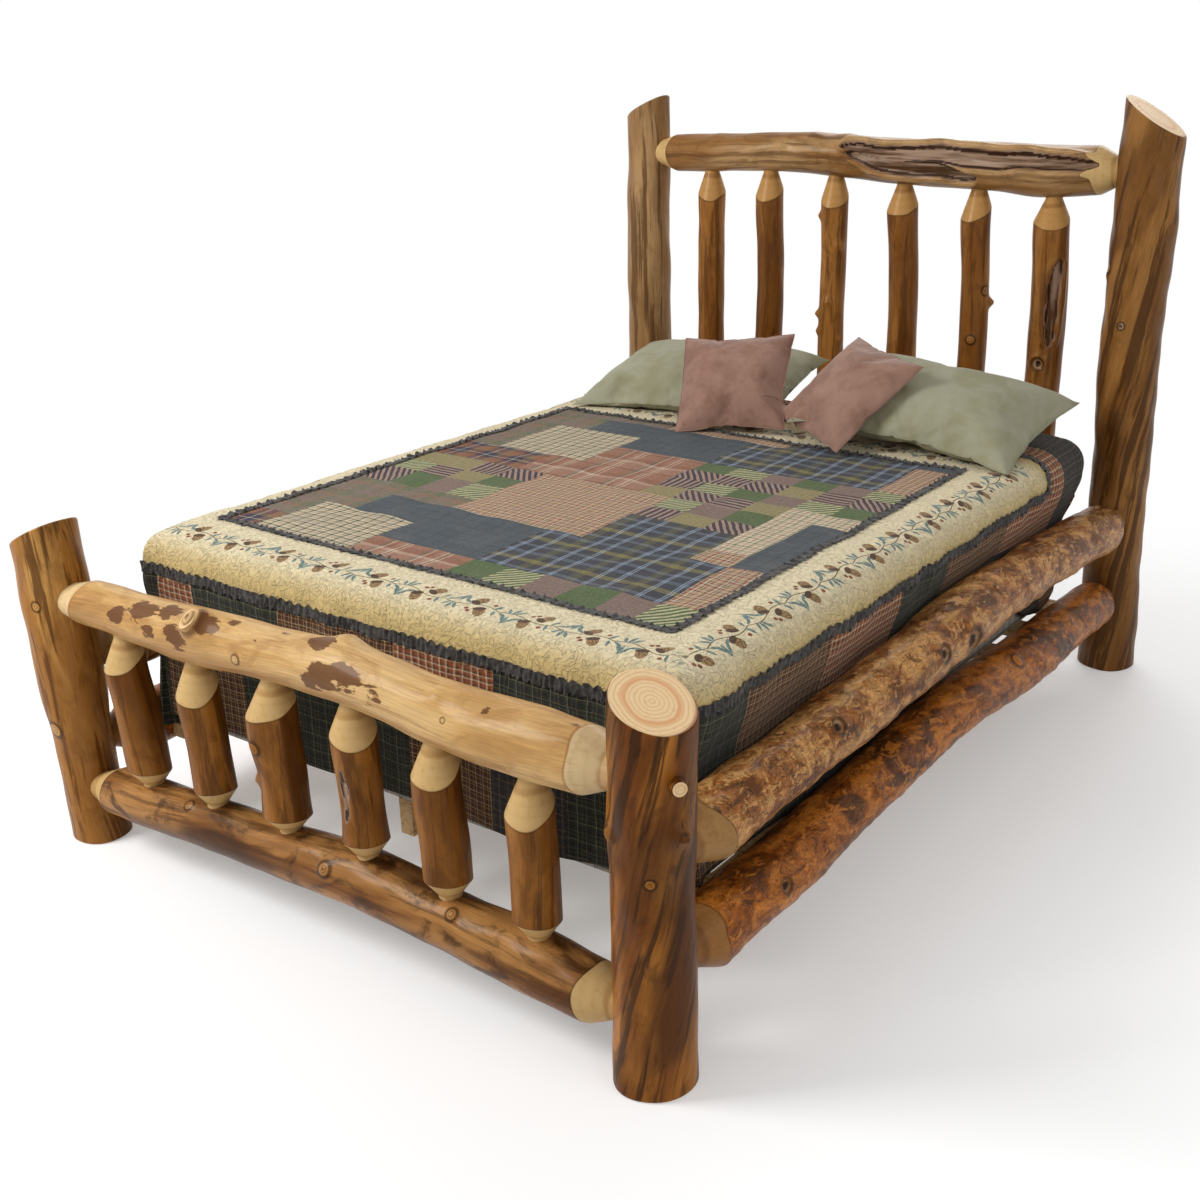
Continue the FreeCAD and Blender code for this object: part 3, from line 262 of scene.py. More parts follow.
class Effects:
    """The effects that several materials share, each a node group built once."""

    figured = "Grain Pale Tan Brown Bark Streaks Cover Mottle"

    def __init__(self) -> None:
        """Build every group."""
        self.figure, self.burl = self._peeled_figure(), self._burl_figure()
        self.rings, self.knots = self._growth_rings(), self._knot_marks()
        self.weave, self.quilting, self.spot = self._weave(), self._quilting(), self._spot()

    def _peeled_figure(self) -> NodeTree:
        """Streaked, varnished wood under a peeled bark."""
        tree = Group("peeled figure", self.figured, "Color Height")
        grain, pale, tan, brown, bark, streaks, cover, mottle = tree.given
        bent = tree.bend(grain, grain, (4, 4, 2.2), (0.05, 0.05, 0.03))
        streak = tree.noise(bent, (34, 34, 1.4), 6, 0.66)
        fine = tree.noise(bent, (260, 260, 11), 3, 0.6)
        cloud = tree.noise(bent, (17, 17, 9), 5, 0.65, 0.8)
        lines = streak.band(0.5, 0.585) * streaks
        patch = ((tree.noise(bent, (12, 12, 5), 6, 0.62, 0.35) - (0.78 - cover * 0.3)) * 34).band(0, 1)
        colour = tree.mix(tan, pale, tree.noise(bent, (10, 10, 2), 3, 0.55).band(0.42, 0.62))
        for layer, share in ((brown, tree.noise(bent, (6.5, 6.5, 1.7), 3, 0.55).band(0.5, 0.66) * mottle),
                             (brown, lines), (bark, streak.ridge(0.5, 0.016, 0.004) * (lines * 0.6)),
                             (brown, cloud.band(0.48, 0.66) * mottle), (bark, patch)):
            colour = tree.mix(colour, layer, share)
        return tree.give(tree.mix(colour, fine.band(0.3, 0.75, 0.84, 1.1), 1, "MULTIPLY"),
                         streak * 0.5 + fine * 0.22 + cloud * 0.5 - patch * 0.12)

    def _burl_figure(self) -> NodeTree:
        """Swirling inner bark, scratched by the drawknife."""
        tree = Group("burl figure", self.figured, "Color Height")
        grain, pale, tan, brown, bark, streaks, cover, mottle = tree.given
        swirl = tree.noise(grain, (20, 20, 10), 8, 0.72, 0.6)
        flake = tree.noise(grain, (40, 40, 24), 8, 0.72, 0.7)
        broad = tree.noise(grain, (7, 7, 3.4), 4, 0.6, 0.5)
        edge = flake.ridge(0.545, 0.013, 0.005)
        marks = tree.noise(grain, (12, 12, 46), 3, 0.55, 0.6).ridge(0.5, 0.012, 0.004)
        marks = marks * (broad.band(0.56, 0.44) * streaks)
        colour = tree.mix(tan, pale, swirl.band(0.47, 0.6))
        for layer, share in ((brown, swirl.band(0.49, 0.4) * mottle), (bark, broad.band(0.5, 0.6) * cover),
                             (pale, flake.band(0.55, 0.565) * 0.75), (bark, edge * streaks),
                             (bark, flake.band(0.425, 0.39) * 0.75), (bark, marks)):
            colour = tree.mix(colour, layer, share)
        threads = tree.noise(grain, (190, 190, 60), 3, 0.6).band(0.3, 0.7, 0.84, 1.12)
        return tree.give(tree.mix(colour, threads, 1, "MULTIPLY"),
                         swirl * 1.3 + flake * 0.7 - edge * 0.12 - marks * 0.2)

    @staticmethod
    def _growth_rings() -> NodeTree:
        """Growth rings on wood that a saw or a tenon cutter has opened."""
        tree = Group("growth rings", "Ring Grain Pale Line Heart Count Strength", "Color Height")
        ring, grain, pale, line, heart, count, strength = tree.given
        wavering = ring + (tree.noise(grain, (17, 17, 5)) - 0.5) * 0.17
        share = tree.maths("FRACT", wavering * count)
        late = share.band(0.45, 0.92) * share.band(1, 0.95)
        soft = tree.noise(grain, (90, 90, 40), 3, 0.6)
        colour = pale
        for layer, amount in ((line, late * strength), (line, soft.band(0.5, 0.75) * 0.3),
                              (heart, wavering.band(0.5, 0.6) * wavering.band(0.7, 0.62) * 0.55),
                              (heart, ring.band(0.05, 0.02))):
            colour = tree.mix(colour, layer, amount)
        return tree.give(colour, late * 0.3 + soft * 0.5)

    @staticmethod
    def _knot_marks() -> NodeTree:
        """Rings and a dark rim where a branch was, and weathered wood in a hollow."""
        tree = Group("knot marks", "Base Knot Hollow Core Rim Grain", "Color")
        base, knot, hollow, core, rim, grain = tree.given
        core = tree.mix(core, rim, tree.maths("SINE", knot * 17).band(-0.5, 0.9) * 0.55)
        dead = tree.noise(grain, (60, 60, 4.5), 5, 0.62)
        weathered = tree.mix(0x9C8270, 0x685042, dead.band(0.4, 0.56))
        weathered = tree.mix(weathered, rim, dead.band(0.555, 0.6))
        colour = base
        for layer, share in ((core, knot.band(1, 0.75) * 0.85),
                             (rim, knot.band(0.7, 0.95) * knot.band(1.5, 1.05) * 0.75),
                             (rim, knot.band(0.3, 0.1) * 0.7), (weathered, hollow.band(0.1, 0.5, 0, 0.85)),
                             (rim, hollow.band(0.58, 0.86))):
            colour = tree.mix(colour, layer, share)
        return tree.give(colour)

    @staticmethod
    def _weave() -> NodeTree:
        """Crossing threads, with slubs."""
        tree = Group("weave", "Place Balance", "Share Height")
        place, balance = tree.given
        warp, weft = (tree.maths("SINE", axis * 3400) for axis in tree.axes(place)[:2])
        cross = warp * weft
        slub = tree.noise(place, (220, 220, 1), 3, 0.6)
        return tree.give(tree.out("Clamp", {0: balance + cross * 0.18 + (slub - 0.5) * 0.5}), cross + slub)

    @staticmethod
    def _quilting() -> NodeTree:
        """Meandering stitch lines with the puckers that washing leaves, and painted shade along the lines and
        over the puckers.
        """
        tree = Group("stipple quilting", "Place Size", "Shade Height")
        place, size = tree.given
        scaled = tree.out("VectorMath", {0: place, "Scale": size}, operation="SCALE")
        level = tree.maths("FRACT", tree.noise(scaled, (1, 1, 1), 1, 0.4, 0.7) * 5)
        line = abs(level - 0.5).band(0.34, 0.49)
        pucker = tree.noise(scaled, (2.6, 2.6, 1), 4, 0.65, 0.6)
        # Painted shade: the colour is darkened along the stitch lines and made lighter or darker over the
        # puckers.
        return tree.give((1 - line * 0.08) * pucker.band(0.3, 0.62, 0.78, 1.08),
                         (1 - line * 0.9) * 0.55 + pucker * 0.75)

    @staticmethod
    def _spot() -> NodeTree:
        """One printed shape: a leaf where Point is 2, an ellipse where it is 1."""
        tree = Group("printed spot", "X Y Across Up Turn Length Width Point", "Mask")
        x, y, across, up, turn, length, width, point = tree.given
        x, y = x - across, y - up
        cos, sin = tree.maths("COSINE", turn), tree.maths("SINE", turn)
        along, off = abs((x * cos + y * sin) / length), abs((y * cos - x * sin) / width)
        return tree.give((along ** 2 + off ** (3 - point)).band(1.15, 0.85))


EFFECTS = Effects()


def emptied(owner: Union[Material, bpy.types.World]) -> NodeTree:
    """Give a material or a world an empty shader tree."""
    owner.use_nodes = True
    owner.node_tree.nodes.clear()
    return owner.node_tree


class Paint(Tree):
    """A material with one Principled shader."""

    def __init__(self, name: str, roughness: float) -> None:
        """Start the material."""
        self.material = bpy.data.materials.new(name)
        super().__init__(emptied(self.material))
        self.shader = self.add("BsdfPrincipled", {"Roughness": roughness})
        self.add("OutputMaterial", {"Surface": Wire(self, self.shader.outputs[0])})

    def place(self) -> Wire:
        """The object coordinates."""
        return self.out("TexCoord", output="Object")

    def read(self, name: str) -> Wire:
        """A value that the mesh carries."""
        return self.out("Attribute", output=2, attribute_name=name)

    def finish(self, colour: Wire, height: Optional[Wire] = None, strength: float = 0.5, depth: float = 0.001,
               **constants: object) -> Material:
        """Fill the shader.

        Args:
            colour: The base colour.
            height: What the bump shows.
            strength: How strongly it does.
            depth: The bump's depth in metres.
            constants: The shader's own settings, with _ in their names for a blank.

        Returns:
            The material.
        """
        self.feed(self.shader.inputs["Base Color"], colour)
        for name, value in constants.items():
            self.feed(self.shader.inputs[name.replace("_", " ")], value)
        if height is not None:
            self.feed(self.shader.inputs["Normal"],
                      self.out("Bump", {"Strength": strength, "Distance": depth, "Height": height}))
        return self.material


def speckled(name: str, scale: float, colours: tuple[int, int], step: Pair, roughness: float,
             bump: Optional[Pair] = None) -> Material:
    """A plain stuff with a fine speckle, which is plated metal where it has no bump.

    Args:
        name: The material's name.
        scale: How fine the speckle is.
        colours: Its two colours.
        step: The noise values between which one turns into the other.
        roughness: The shader's roughness.
        bump: The bump's strength and depth.

    Returns:
        The material.
    """
    paint = Paint(name, roughness)
    fine = paint.noise(paint.place(), (scale,) * 3, 3, 0.6)
    colour = paint.mix(*colours, fine.band(*step))
    if bump:
        return paint.finish(colour, fine, *bump)
    return paint.finish(colour, Metallic=1, Roughness=fine.band(0.3, 0.7, 0.34, 0.52))


# Logs


class Axis(Enum):
    """The way a log runs, then the two directions across it that its turn starts from and goes towards."""

    ACROSS = (0, 1, 2)
    ALONG = (1, 0, 2)
    UP = (2, 0, 1)


class KnotKind(Enum):
    """What a branch left on a log."""

    BUMP = "healed bump"
    EYE = "flush knot"
    HOLE = "open knot hole"
    STUB = "sawn stub"


BUMP, EYE, HOLE, STUB = KnotKind


@dataclass(frozen=True)
class Knot:
    """One knot: its place along the log, its turn in degrees, its size, its kind and a stub's way."""

    place: float
    turn: float
    width: float
    height: float
    kind: KnotKind = BUMP
    points: Optional[Triple] = None


@dataclass(frozen=True)
class Scar:
    """A long healed wound: a hollow with a rolled lip, and the turns where it starts and ends."""

    start: float
    finish: float
    turns: Pair
    half_width: float
    depth: float
    lip: float


@dataclass(frozen=True)
class Tenon:
    """A cut end: the round tenon, its tapered shoulder, and how far the log leans off the tenon's axis."""

    radius: float
    shoulder: float
    length: float
    lean: Pair


@dataclass(frozen=True)
class LogFinish:
    """The colours and figure of one kind of log: pale, tan, brown and bark, then the cut wood's own."""

    name: str
    slot: str
    colours: tuple[int, int, int, int]
    streaks: float
    cover: float
    mottle: float
    burl: bool = False
    relief: float = 0.0022
    cut: tuple[int, int] = (0xCEAC74, 0xA4763E)

    def materials(self) -> list[Material]:
        """The peeled surface and the sawn end, in the order of the log's material slots."""
        return [self._peeled(), self._sawn()]

    def _peeled(self) -> Material:
        """Varnished wood with its knots, hollows and cut shoulders."""
        paint = Paint(self.name, 0.36 if self.burl else 0.42)
        pale, tan, brown, bark = self.colours
        grain = paint.out("Attribute", output=1, attribute_name="grain")
        cut, left = paint.read("shoulder"), paint.read("patch")
        figure, height = paint.group(EFFECTS.burl if self.burl else EFFECTS.figure, Grain=grain, Pale=pale,
                                     Tan=tan, Brown=brown, Bark=bark, Streaks=self.streaks, Cover=self.cover,
                                     Mottle=self.mottle)
        torn = left + (paint.noise(grain, (24, 24, 8), 7, 0.68, 0.4) - 0.5) * 2.6
        barked = paint.mix(figure, bark, torn.band(0.62, 0.7) * left.band(0.05, 0.2) * 0.88)
        marked = paint.group(EFFECTS.knots, Base=barked, Knot=paint.read("knot"), Hollow=paint.read("hollow"),
                             Core=pale, Rim=bark, Grain=grain)[0]
        opened = paint.group(EFFECTS.rings, Ring=paint.read("ring"), Grain=grain, Pale=self.cut[0],
                             Line=self.cut[1], Heart=self.cut[1], Count=6, Strength=0.1)[0]
        colour = paint.mix(marked, opened, cut.band(-0.0002, 0.0006))
        rim = cut.band(-0.0022, -0.0002) * cut.band(0.0012, 0.0002)
        return paint.finish(paint.mix(colour, brown, rim * 0.55), height, 0.55, self.relief,
                            Specular_IOR_Level=0.14, Specular_Tint=(1.0, 0.74, 0.42, 1.0), Coat_Weight=0.1,
                            Coat_Roughness=0.12)

    def _sawn(self) -> Material:
        """End grain with its growth rings and a thin dark line under the bark."""
        paint = Paint(self.name + " end", 0.5)
        grain, ring = paint.out("Attribute", output=1, attribute_name="grain"), paint.read("ring")
        opened, height = paint.group(EFFECTS.rings, Ring=ring, Grain=grain, Pale=0xECCC9C, Line=0xCE9658,
                                     Heart=0xD28242, Count=10, Strength=0.5)
        return paint.finish(paint.mix(opened, 0x96563C, ring.band(0.9, 0.95) * 0.8), height, 0.4, 0.001,
                            Specular_IOR_Level=0.34, Coat_Weight=0.1, Coat_Roughness=0.3)


def eased(values: Array, low: float, high: float) -> Array:
    """A smooth step over an array, from 0 at low to 1 at high."""
    share = np.clip((values - low) / (high - low), 0, 1)
    return share * share * (3 - 2 * share)


def flowing(at: Array, places: Sequence[float], values: Sequence[float]) -> Array:
    """Read a smooth line through stations.

    Args:
        at: Where to read it.
        places: The stations' places, in rising order.
        values: The stations' values.

    Returns:
        The line's values, straight beyond its first and last station.
    """
    x, y = np.asarray(places, float), np.asarray(values, float)
    slope = np.gradient(y, x)
    low = np.clip(np.searchsorted(x, at) - 1, 0, len(x) - 2)
    step = x[low + 1] - x[low]
    t = np.clip((at - x[low]) / step, 0, 1)
    first = (2 * t ** 3 - 3 * t ** 2 + 1) * y[low] + (t ** 3 - 2 * t ** 2 + t) * step * slope[low]
    return first + (3 * t ** 2 - 2 * t ** 3) * y[low + 1] + (t ** 3 - t ** 2) * step * slope[low + 1]


def meshed(name: str, shape: Shape, materials: Sequence[Material]) -> Mesh:
    """Turn a shape into a mesh with its materials."""
    mesh = bpy.data.meshes.new(name)
    shape.to_mesh(mesh)
    shape.free()
    for material in materials:
        mesh.materials.append(material)
    return mesh


def placed(name: str, mesh: Mesh, node: str) -> Piece:
    """Put a mesh in the scene in place of a CAD node.

    Args:
        name: The piece's name.
        mesh: Its mesh, in the frame's place.
        node: The node that it stands for.

    Returns:
        The piece.
    """
    piece = bpy.data.objects.new(name, mesh)
    bpy.context.scene.collection.objects.link(piece)
    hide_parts(node)
    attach(piece, "root")
    logger.info("%s: %d faces", name, len(mesh.polygons))
    return piece


def rounded(shape: Shape, edges: list, offset: float, segments: int) -> dict:
    """Bevel some edges."""
    return bmesh.ops.bevel(shape, geom=edges, offset=offset, offset_type="OFFSET", segments=segments,
                           profile=0.5, affect="EDGES", material=-1)


def moved(shape: Shape, points: Array) -> None:
    """Move a shape's vertices to new points."""
    for vert, point in zip(shape.verts, points):
        vert.co = Vector(point)


def read_points(mesh: Mesh) -> Array:
    """A mesh's points, one in each row."""
    points = np.empty(len(mesh.vertices) * 3)
    mesh.vertices.foreach_get("co", points)
    return points.reshape(-1, 3)


def written(mesh: Mesh, name: str, values: Array) -> None:
    """Write a value for each of a mesh's points."""
    mesh.attributes.new(name, "FLOAT", "POINT").data.foreach_set("value", values.astype(np.float32))


@dataclass
class Log:
    """One peeled log, grown ring by ring from its stations."""

    node: str
    axis: Axis
    stations: Sequence[tuple[float, float, float, float]]
    finish: LogFinish
    seed: int
    start: Optional[Tenon] = None
    end: Optional[Tenon] = None
    knots: Sequence[Knot] = ()
    scars: Sequence[Scar] = ()
    around: int = 64
    step: float = 0.008
    twist: float = 0.0
    lumps: float = 0.022
    dents: float = 0.0
    saw: Optional[tuple[Vector, Vector]] = None
    patches: Sequence[Triple] = ()
    edge_step: float = 0.0035

    def __post_init__(self) -> None:
        """Draw the log's own waves from its seed."""
        dice = random.Random(self.seed)
        self.places = [station[0] for station in self.stations]
        self.waves = []
        for turns in (1, 2, 2, 3, 3, 4, 5):
            length = dice.uniform(0.25, 0.9) if turns < 4 else dice.uniform(0.12, 0.3)
            self.waves.append((self.lumps * dice.uniform(0.5, 1) / turns ** 0.5, turns,
                               math.tau / length, dice.uniform(0, math.tau)))
        for _ in range(10):
            self.waves.append((self.dents * dice.uniform(0.5, 1), dice.randint(3, 9),
                               math.tau / dice.uniform(0.035, 0.11), dice.uniform(0, math.tau)))

    def read(self, place: Array, *columns: int) -> list[Array]:
        """Columns of the stations at some places: 1 and 2 are the middle line's, 3 the plain radius."""
        return [flowing(place, self.places, [row[column] for row in self.stations]) for column in columns]

    @staticmethod
    def apart(turn: Array, other: object) -> Array:
        """The turn between two directions, from minus half a turn to half a turn."""
        return (turn - other + math.pi) % math.tau - math.pi

    def surface(self, place: Array, turn: Array) -> dict[str, Array]:
        """The grown surface with its knots, scars and cut ends.

        Args:
            place: Places along the log.
            turn: Turns around it, in radians.

        Returns:
            The radius, the depth below a cut, the nearest knot, the hollow share and the bark left on.
        """
        plain = self.read(place, 3)[0]
        radius = plain.copy()
        for size, turns, length, phase in self.waves:
            radius += plain * size * np.sin(turns * turn + length * place + phase)
        knot, hollow = np.full_like(place, 9.0), np.zeros_like(place)
        for mark in self.knots:
            reach = np.hypot(place - mark.place,
                             plain * self.apart(turn, math.radians(mark.turn))) / mark.width
            if mark.kind is HOLE:
                radius += mark.height * (0.45 * np.exp(-((reach - 1.15) / 0.4) ** 2)
                                         - np.exp(-reach ** 2 * 1.6))
                hollow = np.maximum(hollow, 1 - eased(reach, 0.35, 0.95))
            else:
                radius += mark.height * np.exp(-reach ** 2 * 1.1)
            if mark.kind is not BUMP:
                knot = np.minimum(knot, reach)
        pits, lips, patch = np.zeros_like(place), np.zeros_like(place), np.zeros_like(place)
        for scar in self.scars:
            share = (place - scar.start) / (scar.finish - scar.start)
            inside = np.clip(1 - (2 * share - 1) ** 2, 0, 1)
            middle = np.radians(scar.turns[0] + (scar.turns[1] - scar.turns[0]) * np.clip(share, 0, 1))
            middle = middle + 0.08 * np.sin(place * 21) + 0.025 * np.sin(place * 47)
            half = scar.half_width * inside ** 0.45 + 1e-4
            reach = np.abs(plain * self.apart(turn, middle)) / half
            shown = (inside > 0) * eased(half, 0.003, 0.012)
            pits = np.maximum(pits, scar.depth * shown * (1 - eased(reach, 0.5, 1)))
            lips = np.maximum(lips, scar.lip * shown * np.exp(-(((reach - 1) * half - 0.008) / 0.009) ** 2))
        open_share = pits / max((scar.depth for scar in self.scars), default=1)
        radius += lips * (1 - eased(open_share, 0, 0.3)) - pits
        hollow = np.maximum(hollow, np.where(open_share > 0.75, 0.55, 0.95 * eased(open_share, 0, 0.3)))
        cut = np.full_like(place, -1.0)
        for tenon, sign, origin in ((self.start, 1, self.places[0]), (self.end, -1, self.places[-1])):
            if tenon:
                away = (place - origin) * sign
                lean = tenon.lean[0] * np.cos(turn) + tenon.lean[1] * np.sin(turn)
                radius += lean * (1 - eased(away, 0.02, 0.2))
                taper = (self.read(np.array([origin]), 3)[0][0] - tenon.radius) / tenon.shoulder
                cone = tenon.radius + np.clip(away + tenon.shoulder, 0, None) * taper
                cut = np.maximum(cut, radius - cone)
                radius = np.where(away < 0.12, np.minimum(radius, cone), radius)
        for spot, side, width in self.patches:
            reach = np.hypot((place - spot) * 0.7, plain * self.apart(turn, math.radians(side))) / width
            patch = np.maximum(patch, np.clip(1.3 - reach, 0, 1))
        return {"radius": radius, "shoulder": cut, "knot": knot, "hollow": hollow, "patch": patch}

    def ring_places(self) -> Array:
        """Where the log's rings of vertices lie, close together at its shoulders."""
        first, last = self.places[0], self.places[-1]
        places = [first]
        if self.start:
            edge = first - self.start.shoulder
            places = [edge - self.start.length, edge - 0.004, *np.arange(edge, first + 0.03, self.edge_step)]
        stop = last - 0.03 if self.end else last
        places += list(np.linspace(places[-1], stop, max(2, int((stop - places[-1]) / self.step)))[1:])
        if self.end:
            edge = last + self.end.shoulder
            places += list(np.arange(places[-1] + self.edge_step, edge, self.edge_step))
            places += [edge, edge + 0.004, edge + self.end.length]
        return np.array(places)

    def build(self) -> None:
        """Grow the log's mesh and dress it."""
        places = self.ring_places()
        shape = bmesh.new()
        bmesh.ops.create_cone(shape, cap_ends=True, segments=self.around, radius1=1, radius2=1, depth=1)
        sides = [edge for edge in shape.edges if abs(edge.verts[0].co.z - edge.verts[1].co.z) > 0.5]
        bmesh.ops.subdivide_edges(shape, edges=sides, cuts=len(places) - 2, use_grid_fill=True)
        place = places[[round((vert.co.z + 0.5) * (len(places) - 1)) for vert in shape.verts]]
        turn = np.array([math.atan2(vert.co.y, vert.co.x) for vert in shape.verts])
        radius = self.surface(place, turn)["radius"]
        first, second = self.read(place, 1, 2)
        first, second = first + radius * np.cos(turn), second + radius * np.sin(turn)
        if self.saw:
            point, normal = self.saw
            limit = point.z - (normal.x * (first - point.x) + normal.y * (second - point.y)) / normal.z
            place = place * limit / places[-1]
        along, one, two = self.axis.value
        for vert, spot in zip(shape.verts, zip(place, first, second)):
            vert.co[along], vert.co[one], vert.co[two] = map(float, spot)
        self._mark(shape.faces)
        shape.normal_update()
        if self.saw:
            rims = [edge for edge in shape.edges
                    if len({len(face.verts) == 4 for face in edge.link_faces}) == 2]
            rounded(shape, rims, 0.0045, 3)
        layer = shape.verts.layers.float.new("stub")
        bmesh.ops.poke(shape, faces=[face for face in shape.faces if len(face.verts) > 8])
        for mark in self.knots:
            if mark.kind is STUB:
                self._add_stub(shape, mark, layer)
        bmesh.ops.recalc_face_normals(shape, faces=shape.faces[:])
        stub_share = np.array([vert[layer] for vert in shape.verts])
        mesh = meshed(self.node + "_log", shape, self.finish.materials())
        self._write_attributes(mesh, stub_share)
        placed(self.node + "_log", mesh, self.node)

    @staticmethod
    def _mark(faces: Sequence[bmesh.types.BMFace]) -> None:
        """Shade the sides smooth and give the caps the sawn finish."""
        for face in faces:
            face.smooth = len(face.verts) == 4
            face.material_index = 0 if face.smooth else 1

    def _add_stub(self, shape: Shape, mark: Knot, layer: bmesh.types.BMLayerItem) -> None:
        """Add a sawn branch stub.

        Args:
            shape: The log's mesh.
            mark: The stub's place and size.
            layer: What holds each stub vertex's distance from the stub's axis.
        """
        turn, sunk = math.radians(mark.turn), 0.014
        one, two, reach = (float(value[0]) for value in self.read(np.array([mark.place]), 1, 2, 3))
        along, first, second = self.axis.value
        radial, base = Vector((0, 0, 0)), Vector((0, 0, 0))
        radial[first], radial[second] = math.cos(turn), math.sin(turn)
        base[along], base[first], base[second] = mark.place, one, two
        base += radial * (reach - sunk)
        out, depth = Vector(mark.points or radial).normalized(), sunk + mark.height
        turned = out.to_track_quat("Z", "Y").to_matrix().to_4x4()
        made = bmesh.ops.create_cone(shape, cap_ends=True, segments=28, radius1=mark.width * 1.16,
                                     radius2=mark.width, depth=depth,
                                     matrix=Matrix.Translation(base + out * depth / 2) @ turned)
        faces = list({face for vert in made["verts"] for face in vert.link_faces})
        self._mark(faces)
        rims = {edge for face in faces if len(face.verts) > 4 for edge in face.edges}
        beveled = rounded(shape, list(rims), 0.0022, 2)
        touched = {vert for face in faces + list(beveled["faces"]) if face.is_valid for vert in face.verts}
        caps = {face for vert in touched for face in vert.link_faces if len(face.verts) > 8}
        touched |= set(bmesh.ops.poke(shape, faces=list(caps))["verts"])
        for vert in touched:
            away = vert.co - base
            vert[layer] = max(1e-4, (away - out * away.dot(out)).length / mark.width)

    def _write_attributes(self, mesh: Mesh, stub_share: Array) -> None:
        """Write what the log's materials read.

        Args:
            mesh: The finished mesh.
            stub_share: Each vertex's distance from a stub's axis, or 0 off the stubs.
        """
        points = read_points(mesh)
        along, one, two = self.axis.value
        place = points[:, along]
        first, second = self.read(place, 1, 2)
        across, up = points[:, one] - first, points[:, two] - second
        turn, reach = np.arctan2(up, across), np.hypot(across, up)
        wound, on_stub = turn + self.twist * place, stub_share > 0
        values = self.surface(place, turn)
        values["ring"] = reach / np.maximum(self.read(place, 3)[0], 1e-3) * 0.97
        for name, bare in (("ring", stub_share * 0.97), ("shoulder", -1), ("knot", 2), ("hollow", 0),
                           ("patch", 0)):
            written(mesh, name, np.where(on_stub, bare, values[name]))
        grain = np.stack([reach * np.cos(wound), reach * np.sin(wound), place], axis=1)
        shifted = grain + np.array([0.37, 0.71, 1.13]) * self.seed
        mesh.attributes.new("grain", "FLOAT_VECTOR", "POINT").data.foreach_set(
            "vector", shifted.astype(np.float32).ravel())


